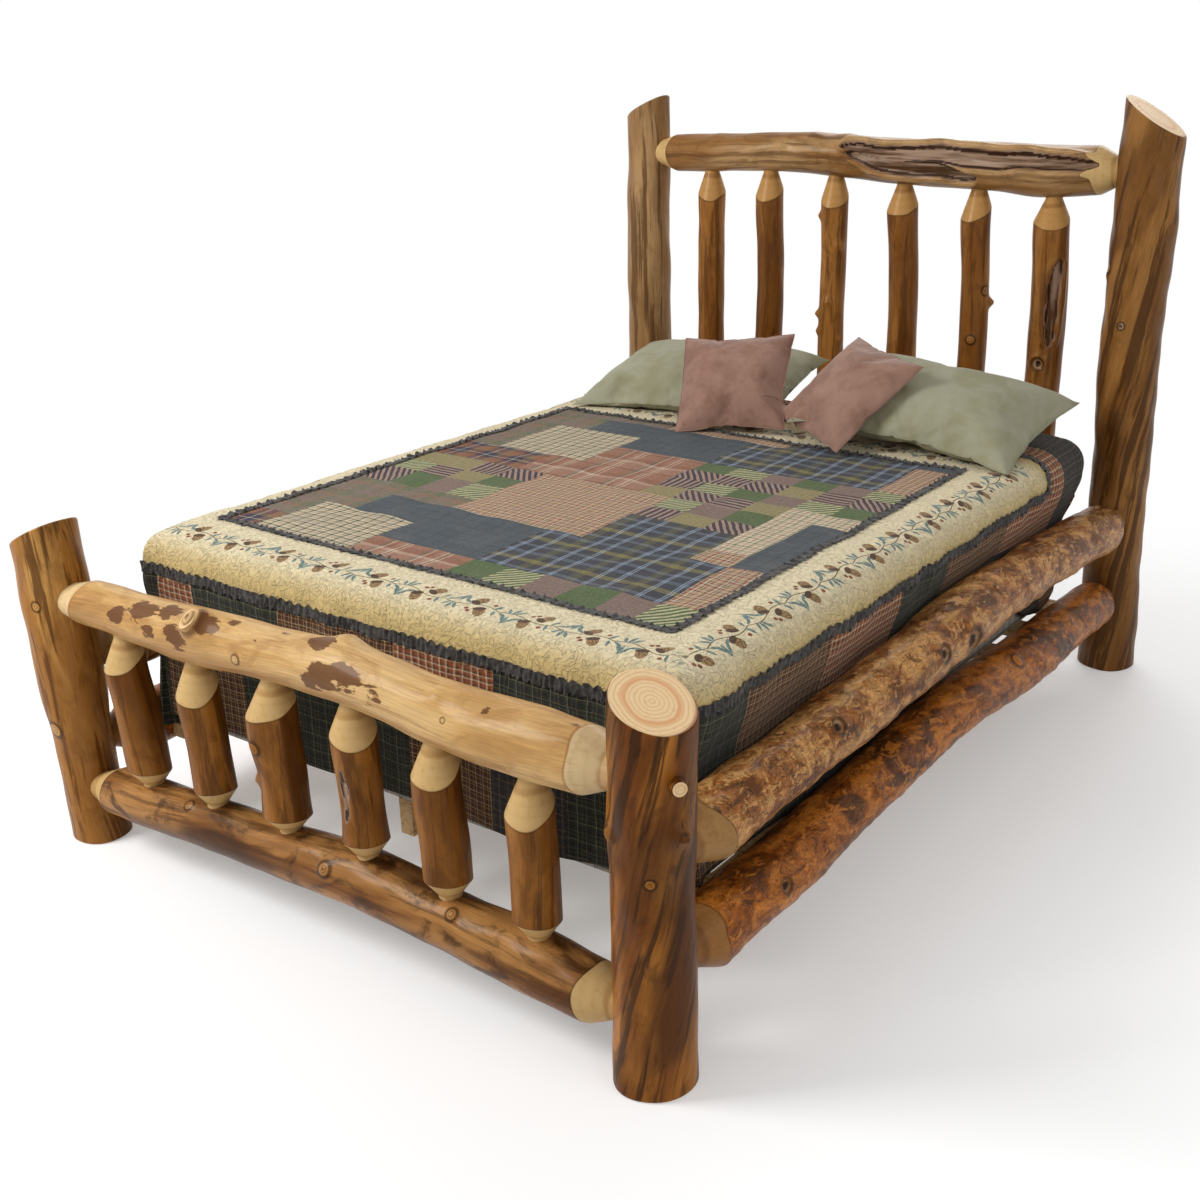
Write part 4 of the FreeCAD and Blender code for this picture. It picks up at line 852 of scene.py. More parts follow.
class Frame:
    """The log frame: posts, cross rails, spindles and side rails."""

    across, along = 0.85, 1.2
    honey = LogFinish("honey post", "post_log", (0xCC9852, 0xA46E32, 0x5C3411, 0x381C0A), 0.85, 0.12, 0.35)
    dark = LogFinish("brown post", "post_log", (0xB0702A, 0x703C10, 0x341906, 0x221005), 0.85, 0.1, 0.55)
    striped = LogFinish("striped post", "post_log", (0x9C6C38, 0x7A4F24, 0x4C2D11, 0x2E1809), 0.9, 0.12, 0.3)
    grey = LogFinish("driftwood post", "post_log", (0xB48E62, 0x926C42, 0x5C3E22, 0x3C2412), 0.85, 0.1, 0.25)
    cream = LogFinish("cream rail", "top_rail_log", (0xDAB47C, 0xC89C60, 0x966230, 0x582E14), 0.4, 0.3, 0.36,
                      cut=(0xDEC292, 0xAC7A42))
    brown = LogFinish("brown rail", "bottom_rail_log",
                      (0xAC7A44, 0x76461E, 0x3C200C, 0x2E180B), 0.6, 0.2, 0.85)
    tan = LogFinish("tan rail", "top_rail_log", (0xB69062, 0x906436, 0x583618, 0x341E16), 0.65, 0.2, 0.4)
    staff = LogFinish("spindle", "spindle_log", (0xA0682A, 0x7E4C19, 0x522C0C, 0x321908), 0.7, 0.06, 0.4)
    tall_staff = LogFinish("tall spindle", "spindle_log",
                           (0xA46E34, 0x825020, 0x542E0F, 0x321908), 0.7, 0.06, 0.4,
                           cut=(0xB88A50, 0x825426))
    upper = LogFinish("burl rail", "side_rail_log",
                      (0xD69E5C, 0x9C5C24, 0x542C0F, 0x2E170B), 0.8, 0.5, 0.8, True,
                      0.007, (0xA87E4A, 0x704822))
    lower = LogFinish("orange burl rail", "side_rail_log",
                      (0xCA7C2E, 0x985216, 0x52280A, 0x2A1509), 0.6, 0.8, 0.65, True,
                      0.005, (0x9C6C3A, 0x683E1C))

    def post(self, node: str, radius: float, height: float, slant: float, rows: Sequence[tuple[float, ...]],
             finish: LogFinish, seed: int, lean: float = 0, **more: object) -> None:
        """Grow one post.

        Args:
            node: The CAD node that it stands for.
            radius: Its radius in metres.
            height: The height of its saw cut at its axis.
            slant: The saw cut's slant in degrees.
            rows: Height, sway across, sway along and girth, as shares of the radius after the height.
            finish: Its finish.
            seed: What draws its waves.
            lean: How far the cut leans towards the foot.
            more: The log's other fields.
        """
        side, end = (1 if "right" in node else -1), (-1 if "foot" in node else 1)
        stations = [(z, side * self.across + radius * a, end * self.along + radius * b, radius * g)
                    for z, a, b, g in rows]
        tilt = Vector((-lean, -side, 0)).normalized()
        normal = Matrix.Rotation(-math.radians(slant), 3, tilt) @ Vector((0, 0, 1))
        point = Vector((*stations[-1][1:3], height))
        Log(node, Axis.UP, stations, finish, seed, around=96, lumps=0.02, saw=(point, normal), **more).build()

    def posts(self) -> None:
        """Grow the four posts."""
        self.post("footboard_post_left", 0.078, 0.78, 28,
                  [(0, 0.1, 0, 0.9), (0.14, -0.08, 0.02, 0.86), (0.238, -0.14, 0.03, 0.87),
                   (0.468, -0.17, 0, 0.98), (0.63, -0.21, -0.02, 1), (0.858, -0.32, -0.03, 1)],
                  self.honey, 3, twist=0.4,
                  knots=[Knot(0.62, -72, 0.012, 0.002, EYE), Knot(0.3, -88, 0.02, -0.002, EYE)])
        self.post("footboard_post_right", 0.08, 0.78, 24,
                  [(0, -0.05, 0, 1), (0.14, -0.05, 0, 0.98), (0.238, -0.05, 0.01, 0.98),
                   (0.468, -0.05, 0.02, 0.98), (0.63, -0.02, 0, 1), (0.86, 0.03, -0.02, 0.96)],
                  self.dark, 5, 0.45, twist=-3.2,
                  knots=[Knot(0.652, -20, 0.014, 0.02, STUB, (0.8, -0.6, 0.08)),
                         Knot(0.645, -20, 0.036, 0.01), Knot(0.588, -125, 0.016, 0.009),
                         Knot(0.465, -58, 0.011, 0.003, EYE), Knot(0.5, -20, 0.05, -0.006)])
        self.post("headboard_post_left", 0.075, 1.607, 28,
                  [(0, -0.02, 0, 1.05), (0.238, -0.06, 0, 1.02), (0.343, -0.08, 0.01, 1.01),
                   (0.468, -0.09, 0.01, 1), (0.836, -0.11, 0.02, 0.99), (1.157, -0.1, 0, 0.98),
                   (1.46, -0.02, 0, 0.96), (1.682, 0.02, 0, 0.94)], self.grey, 7, twist=0.25)
        self.post("headboard_post_right", 0.085, 1.607, 33,
                  [(0, 0.11, 0, 1), (0.238, 0.04, 0, 0.975), (0.343, 0.01, 0, 0.97),
                   (0.468, -0.02, 0, 0.965), (0.836, -0.1, 0.02, 0.99), (1.157, -0.12, 0, 1),
                   (1.46, -0.07, 0, 1.01), (1.692, -0.05, 0, 0.98)], self.striped, 11, twist=-2.1,
                  knots=[Knot(1.201, -146, 0.016, 0.006, EYE), Knot(1.047, -95, 0.011, 0.004, HOLE),
                         Knot(1.47, -11, 0.06, 0.006)])

    def cross_rail(self, node: str, height: float, radius: float, tenon: float, places: Sequence[float],
                   shares: Sequence[Pair], finish: LogFinish, seed: int,
                   leans: Sequence[Pair] = ((0, 0), (0, 0)), **more: object) -> None:
        """Grow a rail that runs across the bed.

        Args:
            node: The CAD node that it stands for.
            height: The height of its axis where it enters the posts.
            radius: Its radius in metres.
            tenon: Its tenons' radius.
            places: Its stations across the bed between its ends.
            shares: Lift and girth at each station and end, as shares of the radius.
            finish: Its finish.
            seed: What draws its waves.
            leans: How far the log leans off its tenons' axes, left and right.
            more: The log's other fields.
        """
        low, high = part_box(node)
        inset, end = 0.148, -1 if "foot" in node else 1
        stations = [(x, end * self.along, height + radius * lift, radius * girth)
                    for x, (lift, girth) in zip((low.x + inset, *places, high.x - inset), shares)]
        left, right = (Tenon(tenon, 0.048, 0.1, lean) for lean in leans)
        Log(node, Axis.ACROSS, stations, finish, seed, left, right, around=112, step=0.005, twist=0.3,
            **more).build()

    def cross_rails(self) -> None:
        """Grow the four rails of the footboard and the headboard."""
        self.cross_rail("footboard_top_rail", 0.63, 0.064, 0.042,
                        (-0.62475, -0.37485, -0.1275, 0.1088, 0.3366, 0.57375),
                        [(-0.08, 0.86), (-0.03, 0.86), (0.02, 0.98), (0.23, 0.91), (0.36, 0.98), (0.06, 1.01),
                         (-0.06, 1.07), (0, 0.99)], self.cream, 13, ((0.004, 0.004), (-0.006, 0.004)),
                        patches=[(-0.57, 160, 0.03), (-0.35, 158, 0.036), (-0.21, 104, 0.02),
                                 (-0.484, 129, 0.044), (-0.405, 113, 0.036), (-0.451, 172, 0.026),
                                 (-0.27, 126, 0.04), (0.053, 100, 0.036), (0.101, 172, 0.044),
                                 (0.16, 152, 0.046), (0.235, 166, 0.03), (0.06, 186, 0.026),
                                 (0.5, 120, 0.014)],
                        knots=[Knot(-0.31, 128, 0.026, 0.018, STUB, (-0.25, -0.62, 0.74)),
                               Knot(-0.3, 124, 0.046, 0.009), Knot(0.095, 72, 0.034, 0.014),
                               Knot(-0.164, 182, 0.011, 0.003, EYE), Knot(0.378, 119, 0.02, 0.004),
                               Knot(0.416, 158, 0.006, -0.001, EYE), Knot(0.6, 80, 0.05, 0.006)])
        self.cross_rail("footboard_bottom_rail", 0.14, 0.064, 0.038,
                        (-0.5967, -0.3655, -0.12325, 0.11475, 0.34425, 0.57375),
                        [(0, 0.92), (0.1, 0.96), (0.35, 0.94), (0.47, 0.98), (0.62, 1.03), (0.39, 1),
                         (0.17, 1.02), (0, 0.96)], self.brown, 17, ((0.003, 0.003), (-0.007, 0.002)),
                        knots=[Knot(0.039, 151, 0.017, 0.007, EYE), Knot(0.383, 129, 0.013, 0.005, EYE),
                               Knot(-0.428, 123, 0.012, 0.003, EYE)])
        self.cross_rail("headboard_top_rail", 1.46, 0.068, 0.042,
                        (-0.595, -0.3706, -0.13345, 0.10285, 0.34595, 0.57715),
                        [(0.06, 0.85), (0.12, 0.86), (0.23, 0.88), (0.22, 0.92), (0.03, 0.99), (-0.03, 1),
                         (-0.14, 1.06), (-0.06, 0.98)], self.tan, 19, ((0.004, 0), (-0.004, 0.004)),
                        knots=[Knot(-0.304, 156, 0.018, 0.007), Knot(-0.407, 199, 0.012, 0.005),
                               Knot(-0.198, 119, 0.026, 0.008), Knot(-0.56, 120, 0.03, 0.005),
                               Knot(-0.09, 105, 0.03, 0.006)],
                        scars=[Scar(-0.1, 0.73, (150, 156), 0.034, 0.016, 0.011),
                               Scar(-0.07, 0.36, (172, 206), 0.03, 0.014, 0.009)])
        self.cross_rail("headboard_bottom_rail", 0.343, 0.06, 0.038,
                        (-0.6103, -0.37655, -0.1377, 0.12325, 0.3553, 0.58395),
                        [(0, 0.96), (0.08, 0.98), (0.17, 1), (0.21, 1.02), (0.15, 1.01), (0.06, 1),
                         (0.02, 0.98), (0, 0.96)], self.brown, 23,
                        knots=[Knot(-0.2, 20, 0.014, 0.004, EYE), Knot(0.3, -30, 0.012, 0.004, EYE)])

    def spindles(self) -> None:
        """Grow the twelve spindles: top and bottom place, girth and two bellies of sway and swell each."""
        foot = [(-0.735, -0.702, 1, (0.02, 1.02), (0.05, 1)),
                (-0.441, -0.43, 0.97, (-0.03, 0.98), (0.03, 1.01)),
                (-0.15, -0.145, 1.09, (0.05, 0.94), (-0.04, 1.02)), (0.128, 0.135, 1, (0, 0.9), (0.02, 0.96)),
                (0.396, 0.405, 1, (0.04, 1), (-0.02, 1.02)), (0.675, 0.675, 0.98, (-0.02, 1), (0.03, 0.99))]
        head = [(-0.7, -0.718, 0.97, (0.03, 1.02), (0, 1)),
                (-0.436, -0.443, 0.98, (-0.08, 1.04), (0.12, 0.99)),
                (-0.157, -0.162, 0.93, (-0.05, 1.02), (-0.04, 0.96)),
                (0.121, 0.145, 1.02, (-0.05, 1.03), (0.12, 1)), (0.407, 0.418, 0.96, (0, 1.01), (0.08, 0.98)),
                (0.679, 0.687, 1.13, (0.05, 1.02), (0.12, 1.03))]
        marks = {"foot3": [Knot(0.446, -97, 0.015, 0.006, EYE), Knot(0.358, -132, 0.013, 0.01)],
                 "foot4": [Knot(0.43, -84, 0.01, -0.002, EYE)],
                 "head3": [Knot(1.204, -37, 0.017, 0.009), Knot(1.026, -83, 0.014, 0.009),
                           Knot(1.292, -151, 0.013, 0.01), Knot(0.985, -151, 0.012, 0.013),
                           Knot(0.906, -14, 0.014, 0.008), Knot(0.93, -140, 0.012, 0.008)],
                 "head4": [Knot(1.33, -60, 0.016, 0.003, EYE)],
                 "head5": [Knot(1.063, 23, 0.014, 0.017), Knot(0.956, -75, 0.014, 0.006, EYE),
                           Knot(1.101, -21, 0.014, -0.002, EYE)],
                 "head6": [Knot(0.907, -91, 0.018, 0.012, HOLE)]}
        wounds = {"head6": [Scar(0.955, 1.215, (-66, -40), 0.022, 0.012, 0.007)],
                  "foot4": [Scar(0.33, 0.47, (-96, -88), 0.01, 0.004, 0.002)]}
        for label, rows, end, radius, finish, seed in (("foot", foot, -1, 0.049, self.staff, 29),
                                                       ("head", head, 1, 0.045, self.tall_staff, 35)):
            for number, (top, bottom, girth, *bellies) in enumerate(rows, start=1):
                node, key = f"{label}board_spindle_{number}", f"{label}{number}"
                low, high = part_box(node)
                start, finish_z = low.z + 0.042 + 0.034, high.z - 0.042 - 0.058
                stations = []
                for step, (sway, swell) in enumerate([(0, 1), *bellies, (0, 1)]):
                    share = step / 3
                    stations.append((start + (finish_z - start) * share,
                                     (bottom + (top - bottom) * share) * self.across + radius * sway,
                                     end * self.along, radius * girth * swell))
                dice = random.Random(number * 7 + 4 + end * 12)
                lean = dice.uniform(-0.9, 0.2)
                tenons = [Tenon(0.024, shoulder, 0.042,
                                (reach * math.cos(lean - turn), reach * math.sin(lean - turn)))
                          for shoulder, reach, turn in ((0.034, 0.005, 0.9), (0.058, 0.01, 1.2))]
                Log(node, Axis.UP, stations, finish, seed + number * 3, *tenons, marks.get(key, ()),
                    wounds.get(key, ()), around=56, step=0.007, twist=dice.uniform(-0.8, 0.8),
                    lumps=0.02).build()

    def side_rail(self, node: str, seed: int, shares: Sequence[Triple], knots: Sequence[Knot]) -> None:
        """Grow a rail that runs along the bed.

        Args:
            node: The CAD node that it stands for.
            seed: What draws its waves.
            shares: Lift, outward sway and girth at eight stations, as shares of the radius.
            knots: Its knots.
        """
        height, radius, tenon, finish = ((0.468, 0.072, 0.045, self.upper) if "upper" in node else
                                         (0.238, 0.07, 0.036, self.lower))
        (low, high), inset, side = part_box(node), 0.166, 1 if "right" in node else -1
        spans = (0, 0.14, 0.28, 0.43, 0.57, 0.71, 0.86, 1)
        stations = [(low.y + inset + (high.y - low.y - 2 * inset) * span,
                     side * (self.across + radius * sway), height + radius * lift, radius * girth)
                    for span, (lift, sway, girth) in zip(spans, shares)]
        near, far = (Tenon(tenon, 0.066, 0.1, (lean, -0.003)) for lean in (0.003, -0.003))
        Log(node, Axis.ALONG, stations, finish, seed, near, far, knots, around=84, step=0.0075, twist=0.8,
            lumps=0.026, dents=0.0045).build()

    def side_rails(self) -> None:
        """Grow the four side rails."""
        self.side_rail("side_rail_upper_right", 67,
                       [(0, 0, 0.97), (0.03, 0, 0.95), (0.14, 0.01, 0.97), (0.36, 0.04, 1.03),
                        (0.57, 0.03, 1.02), (0.46, 0, 0.98), (0.3, 0, 0.98), (0.02, 0.02, 0.99)],
                       [Knot(-0.628, 39, 0.017, 0.011, HOLE), Knot(-0.635, 63, 0.04, 0.006),
                        Knot(-0.756, 97, 0.011, 0.007, EYE), Knot(-0.383, 65, 0.03, 0.005),
                        Knot(-0.257, 33, 0.018, 0.005), Knot(-0.161, 18, 0.02, 0.008, HOLE),
                        Knot(-0.011, -4, 0.03, 0.01, HOLE), Knot(0.55, 60, 0.03, 0.004)])
        self.side_rail("side_rail_lower_right", 71,
                       [(0, 0.02, 1.01), (0, 0.02, 1.01), (0.21, 0, 0.94), (0.42, 0, 0.96), (0.5, 0.01, 0.99),
                        (0.2, 0.06, 1.05), (0.11, 0.03, 1.02), (-0.02, 0, 0.97)],
                       [Knot(-0.85, 20, 0.016, 0.008, HOLE), Knot(-0.431, 44, 0.02, 0.004),
                        Knot(0.35, 50, 0.02, 0.007, EYE), Knot(0.72, 60, 0.03, 0.005)])
        self.side_rail("side_rail_upper_left", 73,
                       [(0, 0, 0.98), (0.1, 0, 0.97), (0.27, 0.01, 0.99), (0.42, 0.02, 1.01),
                        (0.4, 0.02, 1.02), (0.22, 0.01, 1), (0.08, 0, 0.97), (0, 0, 0.95)],
                       [Knot(-0.5, 150, 0.018, 0.009, HOLE), Knot(0.2, 170, 0.02, 0.006, EYE),
                        Knot(0.7, 140, 0.03, 0.005)])
        self.side_rail("side_rail_lower_left", 79,
                       [(0, 0.02, 1.01), (0.08, 0.02, 1), (0.24, 0.01, 0.98), (0.36, 0, 0.98),
                        (0.34, 0, 0.97), (0.22, 0.02, 1), (0.08, 0.02, 1.01), (0, 0, 0.98)],
                       [Knot(-0.2, 150, 0.02, 0.006, EYE), Knot(0.5, 165, 0.016, 0.008, HOLE)])

    def build(self) -> None:
        """Grow the whole frame."""
        self.posts()
        self.cross_rails()
        self.spindles()
        self.side_rails()


# Cloth


class Line:
    """A smooth line through points across a drop, read by its length."""

    def __init__(self, points: Sequence[Pair]) -> None:
        """Measure the line once."""
        steps, at = np.arange(len(points), dtype=float), np.linspace(0, len(points) - 1, 600)
        self.out, self.height = (flowing(at, steps, values) for values in zip(*points))
        self.length = np.concatenate([[0.0], np.cumsum(np.hypot(np.diff(self.out), np.diff(self.height)))])

    def at(self, length: Array) -> tuple[Array, Array]:
        """How far out and how high the line is at some lengths."""
        return np.interp(length, self.length, self.out), np.interp(length, self.length, self.height)

    def reach(self, height: Array) -> Array:
        """The length at which the line comes down to a height."""
        return np.interp(-height, -self.height, self.length)


STITCHES, COTTON = 44.0, {"Sheen_Weight": 0.12, "Specular_IOR_Level": 0.2}


@dataclass(frozen=True)
class Fabric:
    """One woven cotton: the thread colours of one repeat each way, by the place where each starts."""

    name: str
    warp: Stops
    weft: Stops
    repeat: Pair = (0.04, 0.04)
    fade: float = 0.12
    turn: float = 0.0
    balance: float = 0.5

    def material(self) -> Material:
        """Weave the fabric as a material on the cloth's own coordinates."""
        paint = Paint(self.name, 0.88)
        place = turned = paint.out("UVMap", uv_map="cloth")
        if self.turn:
            turned = paint.out("VectorRotate", {"Vector": place, "Angle": math.radians(self.turn)},
                               rotation_type="Z_AXIS")
        axes = paint.axes(paint.bend(place, turned, (26, 26, 1), (0.007, 0.007, 0)))
        along, across = (paint.maths("FRACT", axis / size) for axis, size in zip(axes, self.repeat))
        share, threads = paint.group(EFFECTS.weave, Place=place, Balance=self.balance)
        shade, puff = paint.group(EFFECTS.quilting, Place=place, Size=STITCHES)
        colour = paint.mix(paint.ramp(along, self.warp), paint.ramp(across, self.weft), share)
        worn = paint.noise(place, (9, 9, 1), 4, 0.6).band(0.45, 0.75, 0, self.fade * 2)
        colour = paint.mix(colour, 0x968C7C, worn)
        # The quilting's painted shade darkens the colour along the stitch lines and over the puckers.
        return paint.finish(paint.mix(colour, shade, 1, "MULTIPLY"), puff + threads * 0.12, 0.7, 0.005,
                            **COTTON)


def plain(name: str, colour: int, other: int, pitch: float = 0.04) -> Fabric:
    """A nearly plain fabric with a faint line."""
    return Fabric(name, {0: colour, 0.86: other}, {0: colour, 0.86: other}, (pitch, pitch), 0.08)


def striped(name: str, dark: int, light: int, turn: float, pitch: float = 0.0155) -> Fabric:
    """A two-coloured stripe at a turn."""
    return Fabric(name, {0: dark, 0.52: light}, {0: dark, 0.99: dark}, (pitch, pitch), 0.06, turn, 0)


class Cotton:
    """Every fabric of the patchwork and of the drops."""

    rust, brick, sand, ivory = 0xA04E2C, 0x964228, 0xC4B08E, 0xE0D0B2
    forest, slate, sky = 0x344222, 0x4C545A, 0xB0BED0
    plum, pink, steel = 0x3E2C38, 0xAE9280, 0x2C2842

    @classmethod
    def patchwork(cls) -> dict[str, Fabric]:
        """The patchwork's fabrics by their letter in the layout."""
        check = {0: cls.sand, 0.3: cls.brick, 0.5: cls.ivory, 0.64: 0x60483A, 0.74: cls.sand, 0.86: cls.rust}
        navy = {0: 0x965C3C, 0.3: cls.steel, 0.5: cls.ivory, 0.54: cls.steel, 0.8: 0x8C6E46}
        return {
            "F": Fabric("faded plaid",
                        {0: 0x86705E, 0.3: 0x96705A, 0.42: 0x707256, 0.7: 0x8A766C},
                        {0: 0x7C705C, 0.35: 0x926A52, 0.5: 0x686E4E, 0.8: 0x847068}, (0.11, 0.12), 0.1),
            "R": Fabric("rust check", check, check, (0.038, 0.038)),
            "N": Fabric("slate plaid",
                        {0: 0x68643A, 0.16: 0x383436, 0.32: cls.sky, 0.345: cls.slate, 0.37: cls.sky,
                         0.395: 0x323640, 0.66: cls.sky, 0.685: cls.slate, 0.71: cls.sky, 0.735: 0x3A3842},
                        {0: 0x968C50, 0.14: 0x3E3E42, 0.34: 0x6E7A8A, 0.46: 0x343842,
                         0.68: 0x747E8C, 0.78: 0x3C3A40}, (0.142, 0.136), 0.05),
            "S": plain("slate cotton", cls.slate, 0x3A4046),
            "B": Fabric("beige check", {0: cls.ivory, 0.3: cls.sand, 0.58: cls.ivory, 0.72: cls.forest},
                        {0: cls.ivory, 0.34: 0xAA9274, 0.56: cls.ivory, 0.74: cls.forest}, (0.03, 0.028)),
            "P": Fabric("orange plaid",
                        {0: 0x9E644A, 0.22: 0x68624C, 0.34: cls.ivory, 0.38: 0x965C42,
                         0.5: 0xB08268, 0.62: cls.ivory, 0.67: 0x8E543A, 0.72: cls.ivory, 0.76: 0xA26E54},
                        {0: 0xA87860, 0.3: 0x805844, 0.36: 0xB28A72, 0.7: 0xD6BCA6,
                         0.8: 0x96624A}, (0.125, 0.15), 0.06),
            "V": Fabric("navy plaid", navy, navy, (0.098, 0.095)),
            "C": Fabric("green check", {0: cls.ivory, 0.3: 0xB06E58, 0.42: cls.ivory, 0.72: 0x425C36,
                                        0.84: cls.sand},
                        {0: cls.ivory, 0.4: 0xB47860, 0.52: cls.ivory, 0.82: 0x50643E}, (0.034, 0.03)),
            "G": plain("moss cotton", 0x5A6C3E, 0x485832, 0.02),
            "g": striped("moss stripe", 0x54683C, 0xCCC498, 40),
            "T": plain("mauve cotton", 0x8C7468, 0x6E5A50, 0.012),
            "o": plain("straw cotton", 0xA09262, 0x766848, 0.014),
            "n": striped("plum twill", cls.plum, cls.pink, -38),
            "v": striped("plum stripe", cls.plum, cls.pink, 0, 0.018),
            "h": striped("plum bar", cls.plum, cls.pink, 90, 0.018)}

    @staticmethod
    def drops() -> dict[str, Fabric]:
        """The drops' fabrics by their letter in its rows."""
        dark = {0: 0x181C12, 0.2: 0x323A28, 0.36: 0xB0A87E, 0.39: 0x181A14,
                0.58: 0x3E422C, 0.7: 0x141610, 0.84: 0x96845C, 0.87: 0x1C1E16}
        brown = {0: 0x3E2212, 0.26: 0xA88052, 0.4: 0x4E2A14, 0.64: 0xCEB280, 0.76: 0x60341A}
        rust = {0: 0x9C4E26, 0.26: 0xE4CCA4, 0.38: 0x6A321C, 0.6: 0xAC5E32, 0.74: 0xDEC8A4, 0.84: 0x543822}
        night = {0: 0x2C2A2A, 0.25: 0x605442, 0.34: 0x222224, 0.66: 0x7E664A, 0.74: 0x2A2828}
        cloths = {"d": ("bottle check", dark, (0.044, 0.04), 0.03),
                  "b": ("brown check", brown, (0.022, 0.021), 0.04),
                  "r": ("rust plaid", rust, (0.04, 0.03), 0.05),
                  "k": ("night plaid", night, (0.04, 0.036), 0.04)}
        return {"drop " + key: Fabric(name, threads, threads, repeat, fade)
                for key, (name, threads, repeat, fade) in cloths.items()}


class CreamPrint:
    """Cream cotton with a printed vine of slender leaves, acorns and berries, one cell of it every repeat."""

    repeat, drawn, tall, middle = 0.146, 0.175, 1.2, 0.108
    leaf_shape, round_shape = 2, 1
    leaves = ((-0.056, 0.024, 58, 0.044, 0.0052), (-0.045, 0.03, 84, 0.046, 0.0052),
              (-0.031, 0.027, 112, 0.044, 0.0052), (-0.068, 0.01, 28, 0.036, 0.0048),
              (-0.02, 0.013, 146, 0.038, 0.0048), (-0.05, -0.026, -86, 0.04, 0.0052),
              (-0.035, -0.025, -58, 0.038, 0.005), (-0.066, -0.02, -120, 0.034, 0.0048),
              (0.074, 0.018, 70, 0.036, 0.005), (0.082, -0.016, -66, 0.034, 0.0048))
    acorns = ((0.01, 0.026, 66), (0.044, -0.024, -58))
    berries = ((0.004, -0.024), (0.015, -0.033), (0.058, 0.026))

    def material(self) -> Material:
        """Print the border's cotton, with painted shade where it hangs down the sides and the foot."""
        paint = Paint("cream print", 0.9)
        place, shown = paint.out("UVMap", uv_map="cloth"), paint.read("print")
        run, off = paint.axes(paint.out("UVMap", uv_map="vine"))[:2]
        cell = run / self.repeat
        odd = paint.maths("MODULO", abs(paint.maths("FLOOR", cell)), 2)
        x = (paint.maths("FRACT", cell) - 0.5) * self.drawn
        y = (off - self.middle) * ((1 - odd * 2) * self.tall)
        fleck = paint.noise(place, (240, 240, 1), 2, 0.6)
        leaf = paint.mix(0x54706E, 0x8C9E96, fleck.band(0.4, 0.62))
        nut = paint.mix(0x745834, 0xB08E60, fleck.band(0.42, 0.6))
        shapes = [(leaf, across, up, turn, length / 2, width, self.leaf_shape)
                  for across, up, turn, length, width in self.leaves]
        for across, up, turn in self.acorns:
            back = 0.015 * Vector((math.cos(math.radians(turn)), math.sin(math.radians(turn))))
            shapes += [(nut, across, up, turn, 0.0235, 0.0155, self.round_shape),
                       (0x543A24, across - back.x, up - back.y, turn + 90, 0.0175, 0.0095, self.round_shape)]
        shapes += [(0x8C4E34, across, up, 0, 0.0062, 0.0062, self.round_shape) for across, up in self.berries]
        stem = (y - paint.maths("SINE", x * (math.tau / self.drawn)) * 0.01).ridge(0, 0.0022, 0.0011)
        # Painted shade: the cream is painted darker and yellower on the lower part of the border, where it
        # hangs down the sides and the foot.
        colour = paint.mix(0xE6D7B2, 0xC6AA68, off.band(0.13, 0.22, 0, 0.85))
        colour = paint.mix(colour, 0x706042, stem * shown)
        for ink, across, up, turn, length, width, point in shapes:
            mask = paint.group(EFFECTS.spot, X=x, Y=y, Across=across, Up=up, Turn=math.radians(turn),
                               Length=length, Width=width, Point=point)[0]
            colour = paint.mix(colour, ink, mask * shown)
        shade, puff = paint.group(EFFECTS.quilting, Place=place, Size=STITCHES)
        # The quilting's painted shade darkens the colour along the stitch lines and over the puckers.
        return paint.finish(paint.mix(colour, shade, 1, "MULTIPLY"), puff, 0.8, 0.006, **COTTON)


class Drop(Enum):
    """Which way a stretch of cloth hangs."""

    TOP = 0
    SIDE = 1
    END = 2


